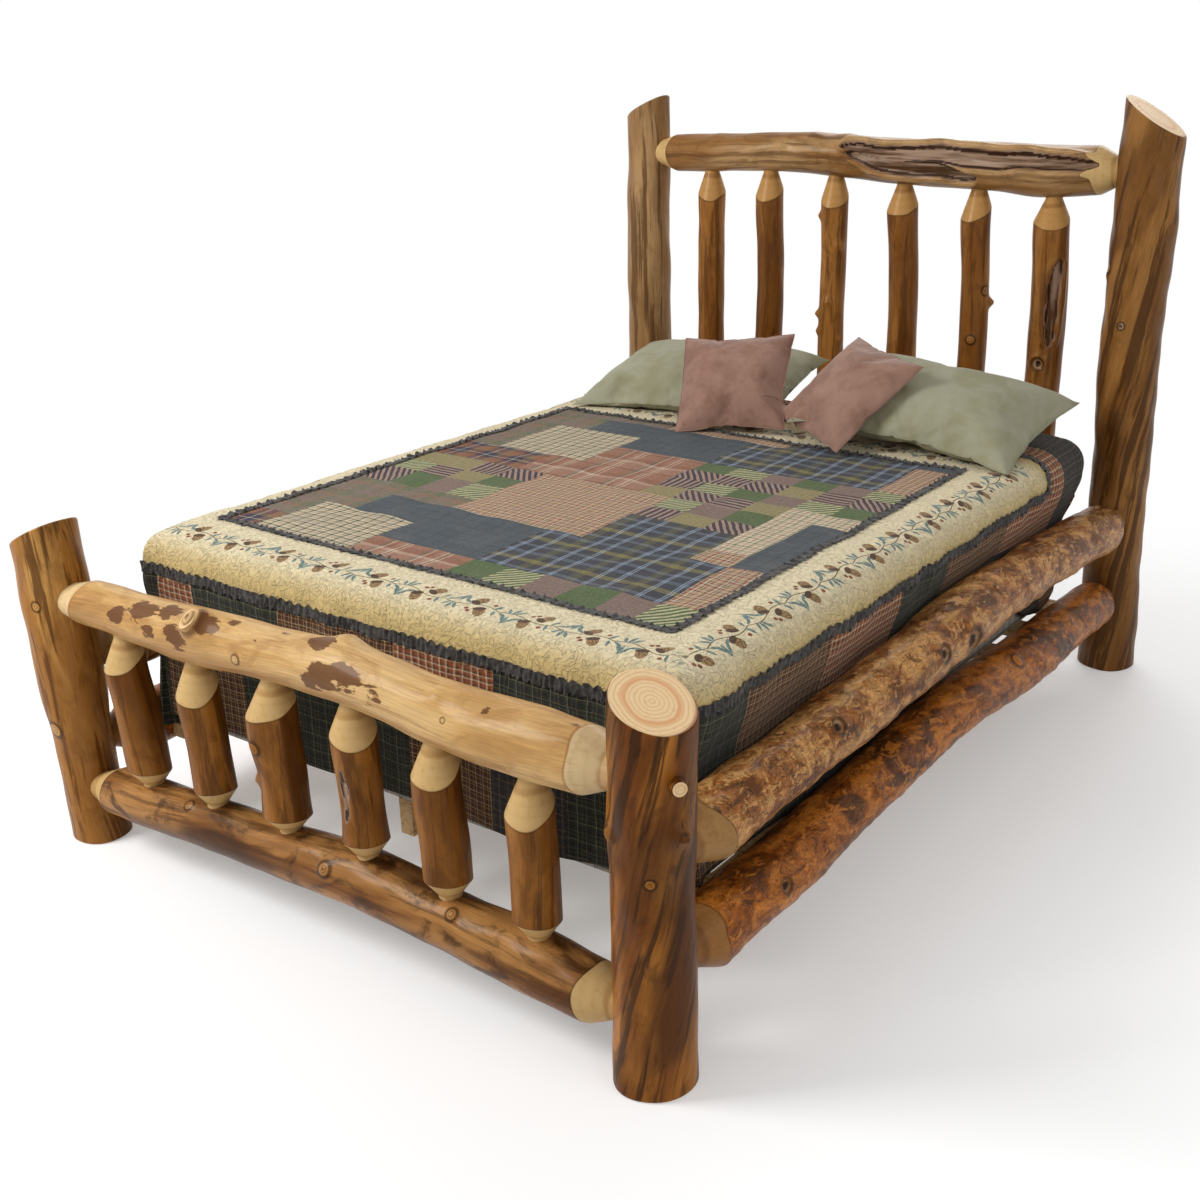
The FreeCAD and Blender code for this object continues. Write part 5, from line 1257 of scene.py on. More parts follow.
class Quilt:
    """The patchwork quilt, draped over the mattress, with its two ruched ruffles."""

    right, left, foot, head = 0.688, 0.705, 0.908, 0.93
    border, drop, short, spacing = 0.17, 0.6, 0.3, 0.0135
    patch_left, patch_right, patch_foot, patch_head = -0.679, 0.643, -0.843, 0.5
    head_line, wadding = 0.72, 0.005
    rows = (0.043, 0.121, 0.119, 0.075, 0.085, 0.08, 0.083, 0.086, 0.082, 0.113, 0.087, 0.134, 0.121, 0.115)
    letters = ("FFFFRRRRNNNNS", "FFSSSSSNNNNNR", "FBBBSSSNNNNNR", "FBBBPPPGgTGTg", "FBBBPPPnvnohn",
               "VVVPPPPvgGTgG", "VVVPPPPonhoCC", "oovnRRRRgTGCS", "ghoGRRRRvonCS", "nGTgRRRRNNNCS",
               "FFFFRRRRNNNRS", "FFSSSSSNNNNNR", "FBBBSSSNNNNNR", "VBBBPPPGgTGTg")

    def __init__(self) -> None:
        """Measure the drops' lines and draw the cloth's own unevenness."""
        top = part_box("quilt")[1].z
        self.heights = self.patch_head - np.concatenate([[0], np.cumsum(self.rows)])
        self.side_line = Line([(0.66, top), (0.715, top), (0.742, top - 0.002), (0.772, top - 0.013),
                               (0.795, top - 0.034), (0.807, top - 0.064), (0.807, top - 0.1),
                               (0.799, top - 0.145), (0.786, 0.556), (0.7735, 0.515), (0.77, 0.47),
                               (0.7695, 0.4), (0.77, 0.33), (0.7715, 0.24)])
        self.foot_line = Line([(0.88, top), (0.955, top), (0.985, top - 0.002), (1.01, top - 0.01),
                               (1.03, top - 0.028), (1.043, top - 0.058), (1.049, top - 0.098), (1.048, 0.6),
                               (1.042, 0.54), (1.036, 0.47), (1.036, 0.4), (1.038, 0.33), (1.04, 0.24)])
        self.rear_line = Line([(0.91, top), (0.958, top), (0.988, top - 0.002), (1.02, top - 0.013),
                               (1.046, top - 0.034), (1.061, top - 0.064), (1.063, top - 0.1), (1.053, 0.605),
                               (1.04, 0.57), (1.032, 0.53), (1.028, 0.47), (1.026, 0.24)])
        dice = random.Random(12)
        sizes = ((0.0016, 0.5),) * 5 + ((0.0008, 0.16),) * 7 + ((0.0004, 0.07),) * 6
        self.waves = [(dice.uniform(0.4, 1) * size, dice.uniform(-1, 1) * math.tau / length,
                       dice.uniform(-1, 1) * math.tau / length, dice.uniform(0, math.tau))
                      for size, length in sizes]

    def hem(self, u: Array, v: Array) -> tuple[Array, Array]:
        """The height of the hem on the side at v and on the end at u."""
        side = flowing(v, [-1.2, -0.95, -0.8, 0.1, 0.27, 0.56, 0.72, 0.9, 0.96, 1.2],
                       [0.252, 0.258, 0.27, 0.272, 0.392, 0.396, 0.285, 0.285, 0.32, 0.56])
        sag = 0.006 * np.sin(u * 9 + 0.6) + 0.004 * np.sin(u * 23)
        return side + 0.004 * np.sin(v * 11), np.where(v < 0, 0.291 + sag, 0.565)

    def place(self, u: Array, v: Array) -> tuple[Array, ...]:
        """Where points of the flat cloth come to lie.

        Args:
            u: Places across the cloth.
            v: Places along it.

        Returns:
            The points, their outward normals, their distance down the drop and their way round a corner.
        """
        start_u, start_v = np.where(u > 0, self.right, self.left), np.where(v < 0, self.foot, self.head)
        a, b = np.abs(u) - start_u, np.abs(v) - start_v
        nominal = np.maximum(np.maximum(a, b), 0)
        inside = np.maximum(nominal, 1e-9)
        turn = np.where(nominal <= 0, 0.0, np.where(a >= b, np.clip(b, 0, None) / (2 * inside),
                                                    1 - np.clip(a, 0, None) / (2 * inside)))
        angle, share = turn * math.pi / 2, turn * turn * (3 - 2 * turn)
        side_hem, end_hem = self.hem(u, v)
        hem = side_hem * (1 - share) + end_hem * share - np.where(v < 0, 0.03, 0.0) * np.sin(2 * angle)

        def down(line: Line, start: Array) -> Array:
            """Out, height, the normal's outward and upward part, and the length down one line."""
            begin = np.interp(start, line.out, line.length)
            whole, part = line.reach(hem) - begin - self.border, nominal - self.border
            length = np.where(part <= 0, nominal, self.border + whole * part / (self.drop - self.border))
            (out, height), (ahead, below) = line.at(begin + length), line.at(begin + length + 0.002)
            size = np.hypot(ahead - out, height - below) + 1e-12
            return np.array([out, height, (height - below) / size, (ahead - out) / size, length])

        side = down(self.side_line, start_u)
        end = np.where(v < 0, down(self.foot_line, start_v), down(self.rear_line, start_v))
        _, z, flat, rise, long = side * (1 - share) + end * share
        fold = 1 - eased(long, 0.14, 0.5) * (v < 0) * (
            0.4 * np.exp(-((turn - 0.5) / 0.075) ** 2) + 0.18 * np.exp(-((turn - 0.2) / 0.06) ** 2)
            + 0.16 * np.exp(-((turn - 0.8) / 0.06) ** 2) - 0.16 * np.sin(2 * angle))
        cos, sin = np.cos(angle) ** 0.82, np.sin(angle) ** 0.82
        x = np.where(a > 0, start_u + (side[0] - start_u) * np.where(b > 0, cos * fold, 1), np.abs(u))
        y = np.where(b > 0, start_v + (end[0] - start_v) * np.where(a > 0, sin * fold, 1), np.abs(v))
        flat, rise = np.where(nominal <= 0, 0.0, flat), np.where(nominal <= 0, 1.0, rise)
        normal = np.stack([np.sign(u) * np.cos(angle) * flat, np.sign(v) * np.sin(angle) * flat, rise],
                          axis=1)
        soft = sum(size * np.sin(i * u + j * v + phase) for size, i, j, phase in self.waves)
        hang, low = eased(long, 0.05, 0.15) * (1 - eased(long, 0.19, 0.27)), eased(long, 0.2, 0.3)
        along = np.where(turn > 0.5, u, v)
        ripple = hang * 0.0034 * (np.sin(along * 31 + 2 * np.sin(along * 9)) + 0.6 * np.sin(along * 57 + 1.3))
        limp = np.where(share > 0.5,
                        0.007 * np.sin(along * 17 + 1.5 * np.sin(along * 5)) * eased(long, 0.2, 0.5),
                        -0.0022 * (1 + np.sin(along * 19)))
        move = soft * (1 - low) + ripple + low * limp
        points = np.stack([np.sign(u) * x, np.sign(v) * y, z], axis=1) + normal * move[:, None]
        return points, normal, long, turn

    def lines(self) -> tuple[Array, Array]:
        """The flat cloth's grid lines across and along, with one on every seam."""
        def divided(*stops: float) -> Array:
            """Divide each stretch between stops evenly."""
            places = [stops[0]]
            for first, last in zip(stops, stops[1:]):
                places += list(np.linspace(first, last, max(1, round((last - first) / self.spacing)) + 1)[1:])
            return np.array(places)

        return (divided(-self.left - self.drop, -self.left - self.border, -self.left,
                        *np.linspace(self.patch_left, self.patch_right, len(self.letters[0]) + 1), self.right,
                        self.right + self.border, self.right + self.drop),
                divided(-self.foot - self.drop, -self.foot - self.border, -self.foot, *self.heights[::-1],
                        self.head_line, self.head, self.head + self.border,
                        self.head + self.drop - self.short))

    def build(self) -> None:
        """Make the quilt and its ruffles."""
        across, along = self.lines()
        shape = bmesh.new()
        bmesh.ops.create_grid(shape, x_segments=len(across) - 1, y_segments=len(along) - 1, size=1)
        u = across[[round((vert.co.x + 1) / 2 * (len(across) - 1)) for vert in shape.verts]]
        v = along[[round((vert.co.y + 1) / 2 * (len(along) - 1)) for vert in shape.verts]]
        points, _, long, turn = self.place(u, v)
        moved(shape, points)
        cloth, vine = shape.loops.layers.uv.new("cloth"), shape.loops.layers.uv.new("vine")
        fabrics = Cotton.patchwork() | Cotton.drops()
        order = {key: number for number, key in enumerate(["cream", *fabrics])}
        for face in shape.faces:
            face.smooth = True
            ids = [vert.index for vert in face.verts]
            middle = float(np.mean(u[ids])), float(np.mean(v[ids]))
            face.material_index = order[self._fabric(*middle)]
            way = self._way(*middle)
            for loop in face.loops:
                spot = loop.vert.index
                loop[cloth].uv = self._flat(u[spot], v[spot], long[spot], turn[spot], way)
                loop[vine].uv = self._vine(u[spot], v[spot], *middle)
        past_u = np.abs(u) - np.where(u > 0, self.patch_right, -self.patch_left)
        past_v = np.where(v < 0, self.patch_foot - v, v - self.patch_head)
        mesh = meshed("quilt_cloth", shape,
                      [CreamPrint().material()] + [one.material() for one in fabrics.values()])
        written(mesh, "print", np.minimum(np.abs(past_u - past_v) / 0.02, 1))
        piece = placed("quilt_cloth", mesh, "quilt")
        wall = piece.modifiers.new("wadding", "SOLIDIFY")
        wall.thickness, wall.offset = self.wadding, -1
        charcoal = self._charcoal()
        ruffles = [
            self._ruffle("quilt_inner_ruffle", (self.patch_left, self.patch_foot),
                         (self.patch_right, self.patch_head), 0.0115, 3, charcoal),
            self._ruffle("quilt_outer_ruffle", (-self.left - self.border, -self.foot - self.border),
                         (self.right + self.border, self.head_line), 0.0125, 4, charcoal)]

    def _fabric(self, u: float, v: float) -> str:
        """The fabric at a place of the flat cloth."""
        if self.patch_left < u < self.patch_right and self.heights[-1] < v < self.heights[0]:
            column = int((u - self.patch_left) / (self.patch_right - self.patch_left) * len(self.letters[0]))
            return self.letters[int(np.searchsorted(-self.heights, -v)) - 1][column]
        on_border = (-self.left - self.border < u < self.right + self.border
                     and -self.foot - self.border < v < self.head_line)
        if on_border:
            return "cream"
        way, deep = self._way(u, v), max(self._past(u, v)) - self.border
        if v > self.head_line and way is not Drop.SIDE:
            return "drop " + "kbdkrkbdkb"[int((u + 1.3) / 0.26) % 10]
        if way is Drop.SIDE:
            stops, names = (((-0.8, -0.47, -0.15, 0.1, 0.44, 0.83), "dbrdbrk") if u > 0 else
                            ((-0.72, -0.4, -0.1, 0.22, 0.5, 0.8), "dkbdrbk"))
            return "drop " + ("bdkbdkb" if deep > 0.2 else names)[int(np.searchsorted(stops, v))]
        stops, names = (((-0.7, -0.44, -0.2, 0.1, 0.33, 0.52), "dbddbkd") if deep > 0.15 else
                        ((-0.69, -0.56, -0.27, 0.08, 0.35), "drdbrd"))
        return "drop " + names[int(np.searchsorted(stops, u))]

    def _starts(self, u: float, v: float) -> Pair:
        """Where the side's and the end's drop start."""
        return (self.right if u > 0 else self.left), (self.foot if v < 0 else self.head)

    def _past(self, u: float, v: float) -> Pair:
        """How far a place of the flat cloth is past those starts."""
        start_u, start_v = self._starts(u, v)
        return abs(u) - start_u, abs(v) - start_v

    def _way(self, u: float, v: float) -> Drop:
        """Which way the cloth hangs at a place of the flat cloth."""
        a, b = self._past(u, v)
        return Drop.TOP if max(a, b) <= 0 else Drop.SIDE if a >= b else Drop.END

    def _flat(self, u: float, v: float, long: float, turn: float, way: Drop) -> Pair:
        """The place on the cut cloth, with what a corner's fold takes up left out."""
        if way is Drop.TOP:
            return float(u), float(v)
        start_u, start_v = self._starts(u, v)
        full = math.pi / 2 * min(long, 0.13) * 1.1
        if way is Drop.SIDE:
            flat = start_u + long, start_v + turn * full if abs(v) > start_v else abs(v)
        else:
            flat = start_u + full - turn * full if abs(u) > start_u else abs(u), start_v + long
        return float(math.copysign(flat[0], u)), float(math.copysign(flat[1], v))

    def _vine(self, u: float, v: float, middle_u: float, middle_v: float) -> Pair:
        """The print's place along the border and across it, on the side where its face's middle lies."""
        def off(at_u: float, at_v: float) -> Pair:
            """How far a place is from the patchwork, across and along."""
            return (at_u - self.patch_right if middle_u > 0 else self.patch_left - at_u,
                    self.patch_foot - at_v if middle_v < -0.2 else at_v - self.patch_head)

        across, along = off(middle_u, middle_v)
        return (float(v), float(off(u, v)[0])) if across >= along else (float(u), float(off(u, v)[1]))

    def _ruffle(self, name: str, low: Pair, high: Pair, half: float, seed: int, material: Material) -> Piece:
        """Gather a frayed strip just outside a rectangle of the cloth.

        Args:
            name: The piece's name.
            low: The rectangle's left foot corner on the flat cloth.
            high: Its right head corner.
            half: Half the strip's width.
            seed: What draws its gathers.
            material: Its cloth.

        Returns:
            The strip.
        """
        (left, foot), (right, head) = np.array(low) - 0.006, np.array(high) + 0.006
        corners = np.array([(left, foot), (right, foot), (right, head), (left, head), (left, foot)])
        path = np.concatenate([np.linspace(*pair, 600, endpoint=False) for pair in zip(corners, corners[1:])])
        points, normals = (np.concatenate([rows, rows[:1]]) for rows in self.place(*path.T)[:2])
        length = np.concatenate([[0.0], np.cumsum(np.linalg.norm(np.diff(points, axis=0), axis=1))])
        total = length[-1]
        count = int(total / 0.0034)
        shape = bmesh.new()
        bmesh.ops.create_grid(shape, x_segments=count, y_segments=5, size=1)
        spot = np.array([round((vert.co.x + 1) / 2 * count) % count for vert in shape.verts]) / count * total
        across = np.array([vert.co.y for vert in shape.verts])

        def along(rows: Array, at: Array) -> Array:
            """Read rows of the path at some lengths."""
            return np.stack([np.interp(at, length, rows[:, axis]) for axis in range(3)], axis=1)

        centre, normal = along(points, spot), along(normals, spot)
        normal /= np.linalg.norm(normal, axis=1)[:, None]
        tangent = along(points, (spot + 0.01) % total) - centre
        tangent /= np.linalg.norm(tangent, axis=1)[:, None] + 1e-9
        side = np.cross(tangent, normal)
        dice = random.Random(seed)
        turns = [(round(total / dice.uniform(0.009, 0.03)), dice.uniform(0, math.tau)) for _ in range(9)]
        waves = [np.sin(math.tau * number * spot / total + phase) for number, phase in turns]
        outer, inner = (waves[0] + waves[1]) * (across > 0), (waves[2] + waves[3]) * (across < 0)
        reach = half * (1 + 0.16 * outer + 0.16 * inner)
        lift = 0.0032 + 0.0026 * np.abs(across) * (waves[4] * np.sign(across) + waves[5])
        lift = np.maximum(lift + 0.0018 * (waves[6] + waves[7]) * (1 - 0.4 * np.abs(across)), 0.0012)
        sway = 0.0022 * waves[8] + 0.0016 * waves[2]
        final = centre + side * (across * reach + sway)[:, None] + normal * lift[:, None]
        moved(shape, final + tangent * (0.0016 * waves[3] * across)[:, None])
        layer = shape.loops.layers.uv.new("cloth")
        for face in shape.faces:
            face.smooth = True
            for loop in face.loops:
                loop[layer].uv = spot[loop.vert.index], across[loop.vert.index] * half
        bmesh.ops.remove_doubles(shape, verts=shape.verts, dist=0.00002)
        return placed(name, meshed(name, shape, [material]), "quilt")

    @staticmethod
    def _charcoal() -> Material:
        """Charcoal cotton with loose threads."""
        paint = Paint("charcoal ruffle", 0.92)
        soft, thread = (paint.noise(paint.place(), (scale,) * 3, detail, 0.6)
                        for scale, detail in ((90, 4), (420, 3)))
        colour = paint.mix(0x222020, 0x4A4642, soft.band(0.38, 0.66))
        return paint.finish(paint.mix(colour, 0x7A7060, thread.band(0.62, 0.72, 0, 0.7)), thread, 0.8, 0.002,
                            Sheen_Weight=0.2)


# Stuffed pieces


@dataclass(frozen=True)
class CushionFinish:
    """The cloth of a cushion."""

    name: str
    pale: int
    deep: int
    sheen: float
    nap: float
    roughness: float = 0.85

    def material(self) -> Material:
        """Weave or brush the cloth."""
        paint = Paint(self.name, self.roughness)
        place = paint.place()
        cloud = paint.noise(place, (9,) * 3, 4, 0.6, 0.4)
        brushed = paint.noise(place, (34,) * 3, 5, 0.65, 0.8)
        thread = paint.noise(place, (900,) * 3, 2)
        colour = paint.mix(self.deep, self.pale, cloud.band(0.32, 0.62))
        for layer, share in ((self.pale, brushed.band(0.5, 0.66) * self.nap),
                             (self.deep, brushed.band(0.46, 0.34) * self.nap),
                             (self.deep, thread.band(0.5, 0.8, 0, 0.35))):
            colour = paint.mix(colour, layer, share)
        return paint.finish(colour, thread * 0.4 + brushed * 0.6, 0.4, 0.002, Sheen_Weight=self.sheen,
                            Sheen_Roughness=0.4, Specular_IOR_Level=0.25)


def welt(name: str, points: Sequence[Vector], radius: float, material: Material, node: str) -> None:
    """Sew a round welt along a closed line.

    Args:
        name: The piece's name.
        points: The line.
        radius: The welt's radius.
        material: Its cloth.
        node: The node that it belongs to.
    """
    curve = bpy.data.curves.new(name + "_line", "CURVE")
    curve.dimensions, curve.bevel_depth, curve.bevel_resolution = "3D", radius, 2
    line = curve.splines.new("POLY")
    line.points.add(len(points) - 1)
    for spot, point in zip(line.points, points):
        spot.co = (*point, 1)
    line.use_cyclic_u = True
    holder = bpy.data.objects.new(name + "_line", curve)
    mesh = bpy.data.meshes.new_from_object(holder)
    bpy.data.objects.remove(holder)
    for face in mesh.polygons:
        face.use_smooth = True
    mesh.materials.clear()
    mesh.materials.append(material)
    placed(name, mesh, node)


@dataclass
class Cushion:
    """A stuffed case: two cloths sewn round the edge and blown up by their filling."""

    node: str
    size: Triple
    centre: Vector
    across: Vector
    normal: Vector
    seed: int
    material: Material
    slot: str
    pressure: float = 3.2
    spacing: float = 0.0115
    droop: float = 0.02
    square: float = 0.35
    slack = 1.06

    def _bag(self) -> tuple[Shape, list[int]]:
        """The flat case before it is filled, and its seam's vertices in order."""
        width, depth = self.size[0] * self.slack, self.size[1] * self.slack
        shape = bmesh.new()
        bmesh.ops.create_grid(shape, x_segments=round(width / self.spacing),
                              y_segments=round(depth / self.spacing), size=0.5)
        under = bmesh.ops.duplicate(shape, geom=shape.verts[:] + shape.edges[:] + shape.faces[:])
        lower = {item for item in under["geom"] if isinstance(item, bmesh.types.BMVert)}
        dice = random.Random(self.seed)
        for vert in shape.verts:
            edge = max(abs(vert.co.x), abs(vert.co.y)) > 0.4999
            side = -1 if vert in lower else 1
            vert.co = Vector((vert.co.x * width, vert.co.y * depth,
                              0.0 if edge else side * (0.003 + dice.uniform(0, 0.0015))))
        bmesh.ops.reverse_faces(shape, faces=[face for face in shape.faces if face.verts[0] in lower])
        bmesh.ops.remove_doubles(shape, verts=[vert for vert in shape.verts if abs(vert.co.z) < 1e-6],
                                 dist=1e-5)
        seam = {vert for vert in shape.verts if abs(vert.co.z) < 1e-6}
        shape.verts.index_update()
        order = [min(seam, key=lambda vert: (vert.co.x + vert.co.y, vert.index))]
        seam.remove(order[0])
        while seam:
            order.append(next(vert for vert in (edge.other_vert(order[-1]) for edge in order[-1].link_edges)
                              if vert in seam))
            seam.remove(order[-1])
        return shape, [vert.index for vert in order]

    def _edge(self, points: Array) -> Array:
        """How far points are from the case's middle, with 1 at its edge."""
        return np.abs(points[:, :2] / self.size[:2]).max(axis=1) * 2

    def _fill(self, mesh: Mesh) -> Array:
        """Blow the flat case up and read its points."""
        holder = bpy.data.objects.new(self.node + "_case", mesh)
        scene = bpy.context.scene
        scene.collection.objects.link(holder)
        cloth = holder.modifiers.new("cloth", "CLOTH")
        wanted = {"quality": 7, "mass": 0.25, "tension_stiffness": 18, "compression_stiffness": 18,
                  "shear_stiffness": 7, "bending_stiffness": 0.35, "air_damping": 4,
                  "use_pressure": True, "uniform_pressure_force": self.pressure}
        for name, value in wanted.items():
            setattr(cloth.settings, name, value)
        cloth.settings.effector_weights.gravity = 0
        cloth.point_cache.frame_start, cloth.point_cache.frame_end = 1, 40
        for number in range(1, 33):
            scene.frame_set(number)
        points = read_points(holder.evaluated_get(bpy.context.evaluated_depsgraph_get()).to_mesh())
        bpy.data.objects.remove(holder)
        scene.frame_set(1)
        return points

    def build(self, neighbours: Sequence[Piece] = ()) -> Piece:
        """Fill the case, lay it down and sew its edge.

        Args:
            neighbours: The cushions that it leans on.

        Returns:
            The cushion.
        """
        shape, seam = self._bag()
        mesh = bpy.data.meshes.new(self.node + "_case")
        shape.to_mesh(mesh)
        flat = np.array([vert.co[:2] for vert in shape.verts])
        points = self._fill(mesh)
        points *= np.array(self.size) / 2 / np.abs(points).max(axis=0)
        flat *= np.array(self.size[:2]) / 2 / np.abs(flat).max(axis=0)
        points[:, :2] += (flat - points[:, :2]) * self.square
        points[:, 2] -= self.droop * self._edge(points) ** 4
        up = self.normal.normalized()
        side = (self.across - up * self.across.dot(up)).normalized()
        world = points @ np.array((side, up.cross(side), up)) + np.array(self.centre)
        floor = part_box("quilt")[1].z + 0.0035
        deep = floor - world[:, 2]
        world[:, 2] = np.where(deep > -0.01, floor + np.clip(0.01 - deep, 0, None) ** 2 / 0.04, world[:, 2])
        trees = [BVHTree.FromObject(other, bpy.context.evaluated_depsgraph_get()) for other in neighbours]
        for vert, spot in zip(shape.verts, world):
            place = Vector(spot)
            for tree in trees:
                hit = tree.ray_cast(place + up * 0.4, -up, 0.9)[0]
                if hit is not None and (place - hit).dot(up) < 0.003:
                    place = hit + up * 0.003
            vert.co = place
        shape.verts.ensure_lookup_table()
        line, on_seam = [shape.verts[number].co.copy() for number in seam], set(seam)
        crease = shape.edges.layers.float.new("crease_edge")
        for face in shape.faces:
            face.smooth = True
        for edge in shape.edges:
            if on_seam.issuperset(vert.index for vert in edge.verts):
                edge[crease] = 0.9
        bmesh.ops.recalc_face_normals(shape, faces=shape.faces[:])
        shape.to_mesh(mesh)
        shape.free()
        mesh.materials.append(self.material)
        piece = placed(self.node + "_case", mesh, self.node)
        soft = piece.modifiers.new("smooth", "SUBSURF")
        soft.levels = soft.render_levels = 1
        welt(self.node + "_seam", line, 0.0016, self.material, self.node)
        return piece


class Pillows:
    """Two bed pillows in sage cases and two suede throw pillows."""

    sage = CushionFinish("sage cotton", 0xA2A088, 0x928F70, 0.12, 0.12)
    suede = CushionFinish("mauve suede", 0x9E7A6A, 0x866252, 0.3, 0.45, 0.8)

    def build(self) -> None:
        """Fill and lay the four pillows."""
        top, sage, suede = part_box("quilt")[1].z, self.sage.material(), self.suede.material()
        left = Cushion("pillow_left", (0.67, 0.49, 0.18), Vector((-0.374, 0.798, top + 0.082)),
                       Vector((0.99, 0.11, -0.01)), Vector((0, -0.2, 0.98)), 3, sage, "sage_cotton").build()
        right = Cushion("pillow_right", (0.67, 0.49, 0.185), Vector((0.44, 0.752, top + 0.1)),
                        Vector((1, 0, -0.09)), Vector((0.09, -0.21, 0.97)), 8, sage, "sage_cotton").build()
        below = [left, right]
        for side, centre, across, normal, seed, under in (
                ("left", (-0.127, 0.597, top + 0.13), (0.93, 0.34, 0.08), (0.19, -0.68, 0.7), 14, 1),
                ("right", (0.236, 0.622, top + 0.139), (0.86, -0.5, -0.08), (-0.27, -0.58, 0.77), 21, 3)):
            throw = Cushion("throw_pillow_" + side, (0.335, 0.335, 0.125), Vector(centre), Vector(across),
                            Vector(normal), seed, suede, "mauve_suede", pressure=4.5, spacing=0.0085,
                            droop=0.004, square=0.6)
            below.append(throw.build(below[:under]))


@dataclass
class Slab:
    """A rounded, covered block with a welt round its upper and lower edges."""

    node: str
    slot: str
    corner: float
    edge: float
    welt_rise: float
    fill: float

    def build(self, material: Material, trim: Material) -> None:
        """Make the block and its welts.

        Args:
            material: Its cover.
            trim: The welts' cloth.
        """
        low, high = map(Vector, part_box(self.node))
        size, middle = high - low, (high + low) / 2
        shape = bmesh.new()
        bmesh.ops.create_cube(shape, size=1, matrix=Matrix.Translation(middle) @ Matrix.Diagonal((*size, 1)))
        for upright, offset, segments in ((True, self.corner, 8), (False, self.edge, 5)):
            edges = [edge for edge in shape.edges
                     if (abs(edge.verts[0].co.z - edge.verts[1].co.z) > 1e-6) is upright]
            rounded(shape, edges, offset, segments)
        for normal, count in ((Vector((0, 1, 0)), 14), (Vector((1, 0, 0)), 11)):
            for number in range(1, count):
                bmesh.ops.bisect_plane(shape, geom=shape.verts[:] + shape.edges[:] + shape.faces[:],
                                       plane_co=low + size * number / count, plane_no=normal)
        for face in shape.faces:
            face.smooth = True
        bmesh.ops.recalc_face_normals(shape, faces=shape.faces[:])
        piece = placed(self.node + "_cover", meshed(self.node + "_cover", shape, [material]), self.node)
        straight = size / 2 - Vector((1, 1, 1)) * (self.corner + 0.003)
        turns = np.linspace(0, math.tau, 56, endpoint=False)
        for name, height in (("upper", high.z - self.welt_rise), ("lower", low.z + self.welt_rise)):
            line = [Vector((middle.x + math.copysign(straight.x, cos) + self.corner * cos,
                            middle.y + math.copysign(straight.y, sin) + self.corner * sin, height))
                    for cos, sin in zip(np.cos(turns), np.sin(turns))]
            welt(f"{self.node}_{name}_welt", line, 0.0042, trim, self.node)


class Bedding:
    """The mattress and the box spring under the quilt."""

    @staticmethod
    def _knit() -> Material:
        """Quilted off-white knit, with painted shade in the grooves between its puffs."""
        paint = Paint("mattress knit", 0.85)
        place = paint.place()
        x, y, z = paint.axes(place)
        first, other = (abs(paint.maths("SINE", run * 30)) ** 0.4 for run in (x + y + z, x + y - z))
        puff, fine = first * other, paint.noise(place, (500,) * 3, 2)
        # Painted shade: the knit is painted darker in the quilting grooves and lighter on the puffs.
        colour = paint.mix(0xC4BEB2, 0xE2DED4, puff.band(0.2, 0.6))
        return paint.finish(paint.mix(colour, 0xCEC8BE, fine.band(0.5, 0.7, 0, 0.5)), puff + fine * 0.1,
                            0.7, 0.006, Sheen_Weight=0.15)

    @staticmethod
    def _ticking() -> Material:
        """Striped woven ticking."""
        paint = Paint("spring ticking", 0.88)
        place = paint.place()
        x, y, _ = paint.axes(place)
        stripes = paint.ramp(paint.maths("FRACT", (x + y) / 0.042), {
            0: 0xD6D0C2, 0.4: 0x80868E, 0.46: 0xD6D0C2, 0.54: 0x80868E,
            0.6: 0xCEC8BA})
        fine = paint.noise(place, (600,) * 3, 2)
        return paint.finish(paint.mix(stripes, 0xB4AEA0, fine.band(0.48, 0.7, 0, 0.5)), fine, 0.5)

    def build(self) -> None:
        """Make both blocks."""
        tape = speckled("welt tape", 320, (0x787670, 0xA09C94), (0.35, 0.65), 0.8, (0.6, 0.001))
        Slab("mattress", "mattress_knit", 0.1, 0.056, 0.034, 0.9).build(self._knit(), tape)
        Slab("box_spring", "spring_ticking", 0.05, 0.012, 0.016, 1.0).build(self._ticking(), tape)


# Deck and hardware


@dataclass(frozen=True)
class PlanedTimber:
    """Bare planed softwood with its grain one way."""

    name: str
    along: Axis

    def material(self) -> Material:
        """Grow the board's figure on object coordinates."""
        paint = Paint(self.name, 0.62)
        scale = np.full(3, 16.0)
        scale[self.along.value[0]] = 0.9
        share = paint.maths("FRACT", paint.noise(paint.place(), scale, 3, 0.5, 0.6) * 9)
        fine = paint.noise(paint.place(), scale * 22, 3, 0.6)
        colour = paint.mix(0xDAB884, 0xBC8E58, share.band(0.55, 0.95))
        return paint.finish(paint.mix(colour, 0xB08454, fine.band(0.5, 0.72, 0, 0.55)), share * 0.4 + fine,
                            0.35, 0.0008)


class Deck:
    """The slats, ledgers, beam, legs and hardware, which keep their CAD shapes."""

    def build(self) -> None:
        """Dress the CAD nodes."""
        zinc = speckled("zinc plate", 260, (0xA0A2A4, 0xC8CACC), (0.35, 0.65), 0.4)
        along = PlanedTimber("ledger timber", Axis.ALONG).material()
        finishes = {"slat_ledger": along, "centre_beam": along,
                    "slat_": PlanedTimber("slat timber", Axis.ACROSS).material(),
                    "centre_leg": PlanedTimber("leg timber", Axis.UP).material(),
                    "leg_glide": speckled("glide plastic", 500, (0x1A1A1B, 0x2C2C2D), (0.4, 0.7), 0.5,
                                          (0.3, 0.0006))}
        for name, piece in sorted(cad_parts.items()):
            finish = zinc if name.endswith(("bolts", "washers", "screws", "nuts")) else next(
                (finish for start, finish in finishes.items() if name.startswith(start)), None)
            if finish:
                for place in piece.material_slots:
                    place.material = finish
                logger.info("%s: %s", name, finish.name)


# The room


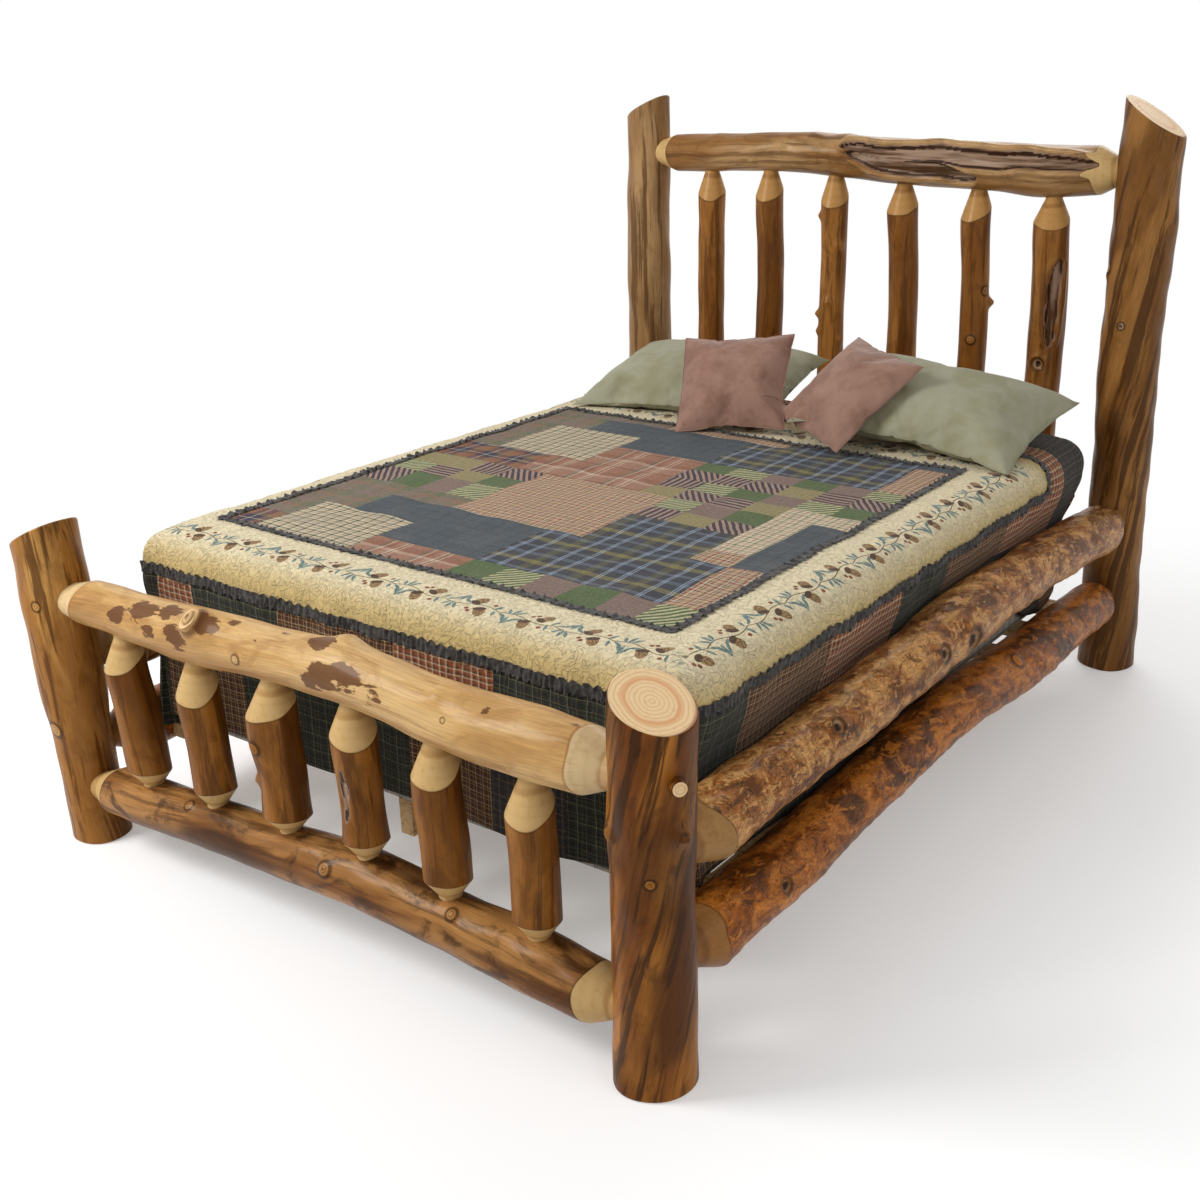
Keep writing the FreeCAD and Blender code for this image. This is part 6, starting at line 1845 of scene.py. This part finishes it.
class Studio:
    """The camera, the pale floor and the soft lights."""

    place: Vector = Vector((2.197, -3.066, 1.832))
    azimuth, drop, roll = map(math.radians, (35.28, 21.35, -0.84))

    def camera(self) -> None:
        """Stand the camera where the photographer stood."""
        back = Vector((math.sin(self.azimuth) * math.cos(self.drop),
                       -math.cos(self.azimuth) * math.cos(self.drop), math.sin(self.drop)))
        right = (-back).cross(Vector((0, 0, 1))).normalized()
        up = right.cross(-back)
        side = right * math.cos(self.roll) + up * math.sin(self.roll)
        top = up * math.cos(self.roll) - right * math.sin(self.roll)
        lens = bpy.data.cameras.new("camera")
        lens.sensor_width, lens.lens, lens.clip_end = 36.0, 44.74, 60.0
        lens.shift_x, lens.shift_y = -0.0523, 0.0139
        view = bpy.data.objects.new("camera", lens)
        view.matrix_world = Matrix.Translation(self.place) @ Matrix((side, top, back)).transposed().to_4x4()
        bpy.context.scene.collection.objects.link(view)
        bpy.context.scene.camera = view

    @staticmethod
    def _seen(tree: Tree) -> Wire:
        """One for the rays that show the room as white: camera, glossy and transmission."""
        rays = tree.add("LightPath").outputs
        camera, glossy, through = (Wire(tree, rays[f"Is {ray} Ray"])
                                   for ray in ("Camera", "Glossy", "Transmission"))
        return tree.maths("MAXIMUM", tree.maths("MAXIMUM", camera, glossy), through)

    def floor(self) -> None:
        """Lay a pale floor that shows white to the camera and keeps the bed's shadow."""
        material = bpy.data.materials.new("pale floor")
        tree = Tree(emptied(material))
        matt = tree.out("BsdfDiffuse", {"Color": (0.86, 0.86, 0.86, 1)})
        lifted = tree.out("AddShader", {0: matt, 1: tree.out("Emission", {"Strength": 0.26})})
        away = tree.out("VectorMath", {0: tree.vector("MULTIPLY", tree.out("TexCoord", output="Object"),
                                                      (1, 0.84, 1))}, 1, operation="LENGTH")
        seen = tree.out("MixShader",
                        {0: away.band(1.5, 2.9), 1: lifted, 2: tree.out("Emission", {"Strength": 1.0})})
        tree.add("OutputMaterial",
                 {"Surface": tree.out("MixShader", {0: self._seen(tree), 1: matt, 2: seen})})
        shape = bmesh.new()
        bmesh.ops.create_grid(shape, x_segments=2, y_segments=2, size=14)
        ground = bpy.data.objects.new("floor", meshed("floor", shape, [material]))
        ground.location.z = -0.0005
        bpy.context.scene.collection.objects.link(ground)

    def light(self) -> None:
        """Hang large soft lamps and a pale sky."""
        scene = bpy.context.scene
        scene.view_settings.view_transform = "Standard"
        scene.world = bpy.data.worlds.new("studio")
        tree = Tree(emptied(scene.world))
        strength = tree.out("Mix", {0: self._seen(tree), 2: 0.43, 3: 1.0}, data_type="FLOAT")
        tree.add("OutputWorld",
                 {"Surface": tree.out("Background", {"Color": (1, 1, 1, 1), "Strength": strength})})
        for name, spot, size, power in (("key", Vector((-2.8, -3.6, 3.8)), 2.0, 190.0),
                                        ("fill", Vector((4.2, -1.6, 2.6)), 3.0, 36.0),
                                        ("back", Vector((-0.5, 3.6, 3.6)), 2.6, 74.0)):
            lamp = bpy.data.lights.new(name, "AREA")
            lamp.shape, lamp.size, lamp.energy = "SQUARE", size, power
            holder = bpy.data.objects.new(name, lamp)
            aim = Vector((0, 0, 0.6)) - spot
            holder.matrix_world = Matrix.Translation(spot) @ aim.to_track_quat("-Z", "Y").to_matrix().to_4x4()
            scene.collection.objects.link(holder)

    def build(self) -> None:
        """Set up the whole room."""
        self.camera()
        self.floor()
        self.light()


def main() -> None:
    """Build every class in order."""
    logging.basicConfig(level=logging.INFO, format="%(name)s: %(message)s")
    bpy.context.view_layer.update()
    for part in (Studio(), Frame(), Quilt(), Pillows(), Bedding(), Deck()):
        part.build()


if __name__ == "__main__":
    main()
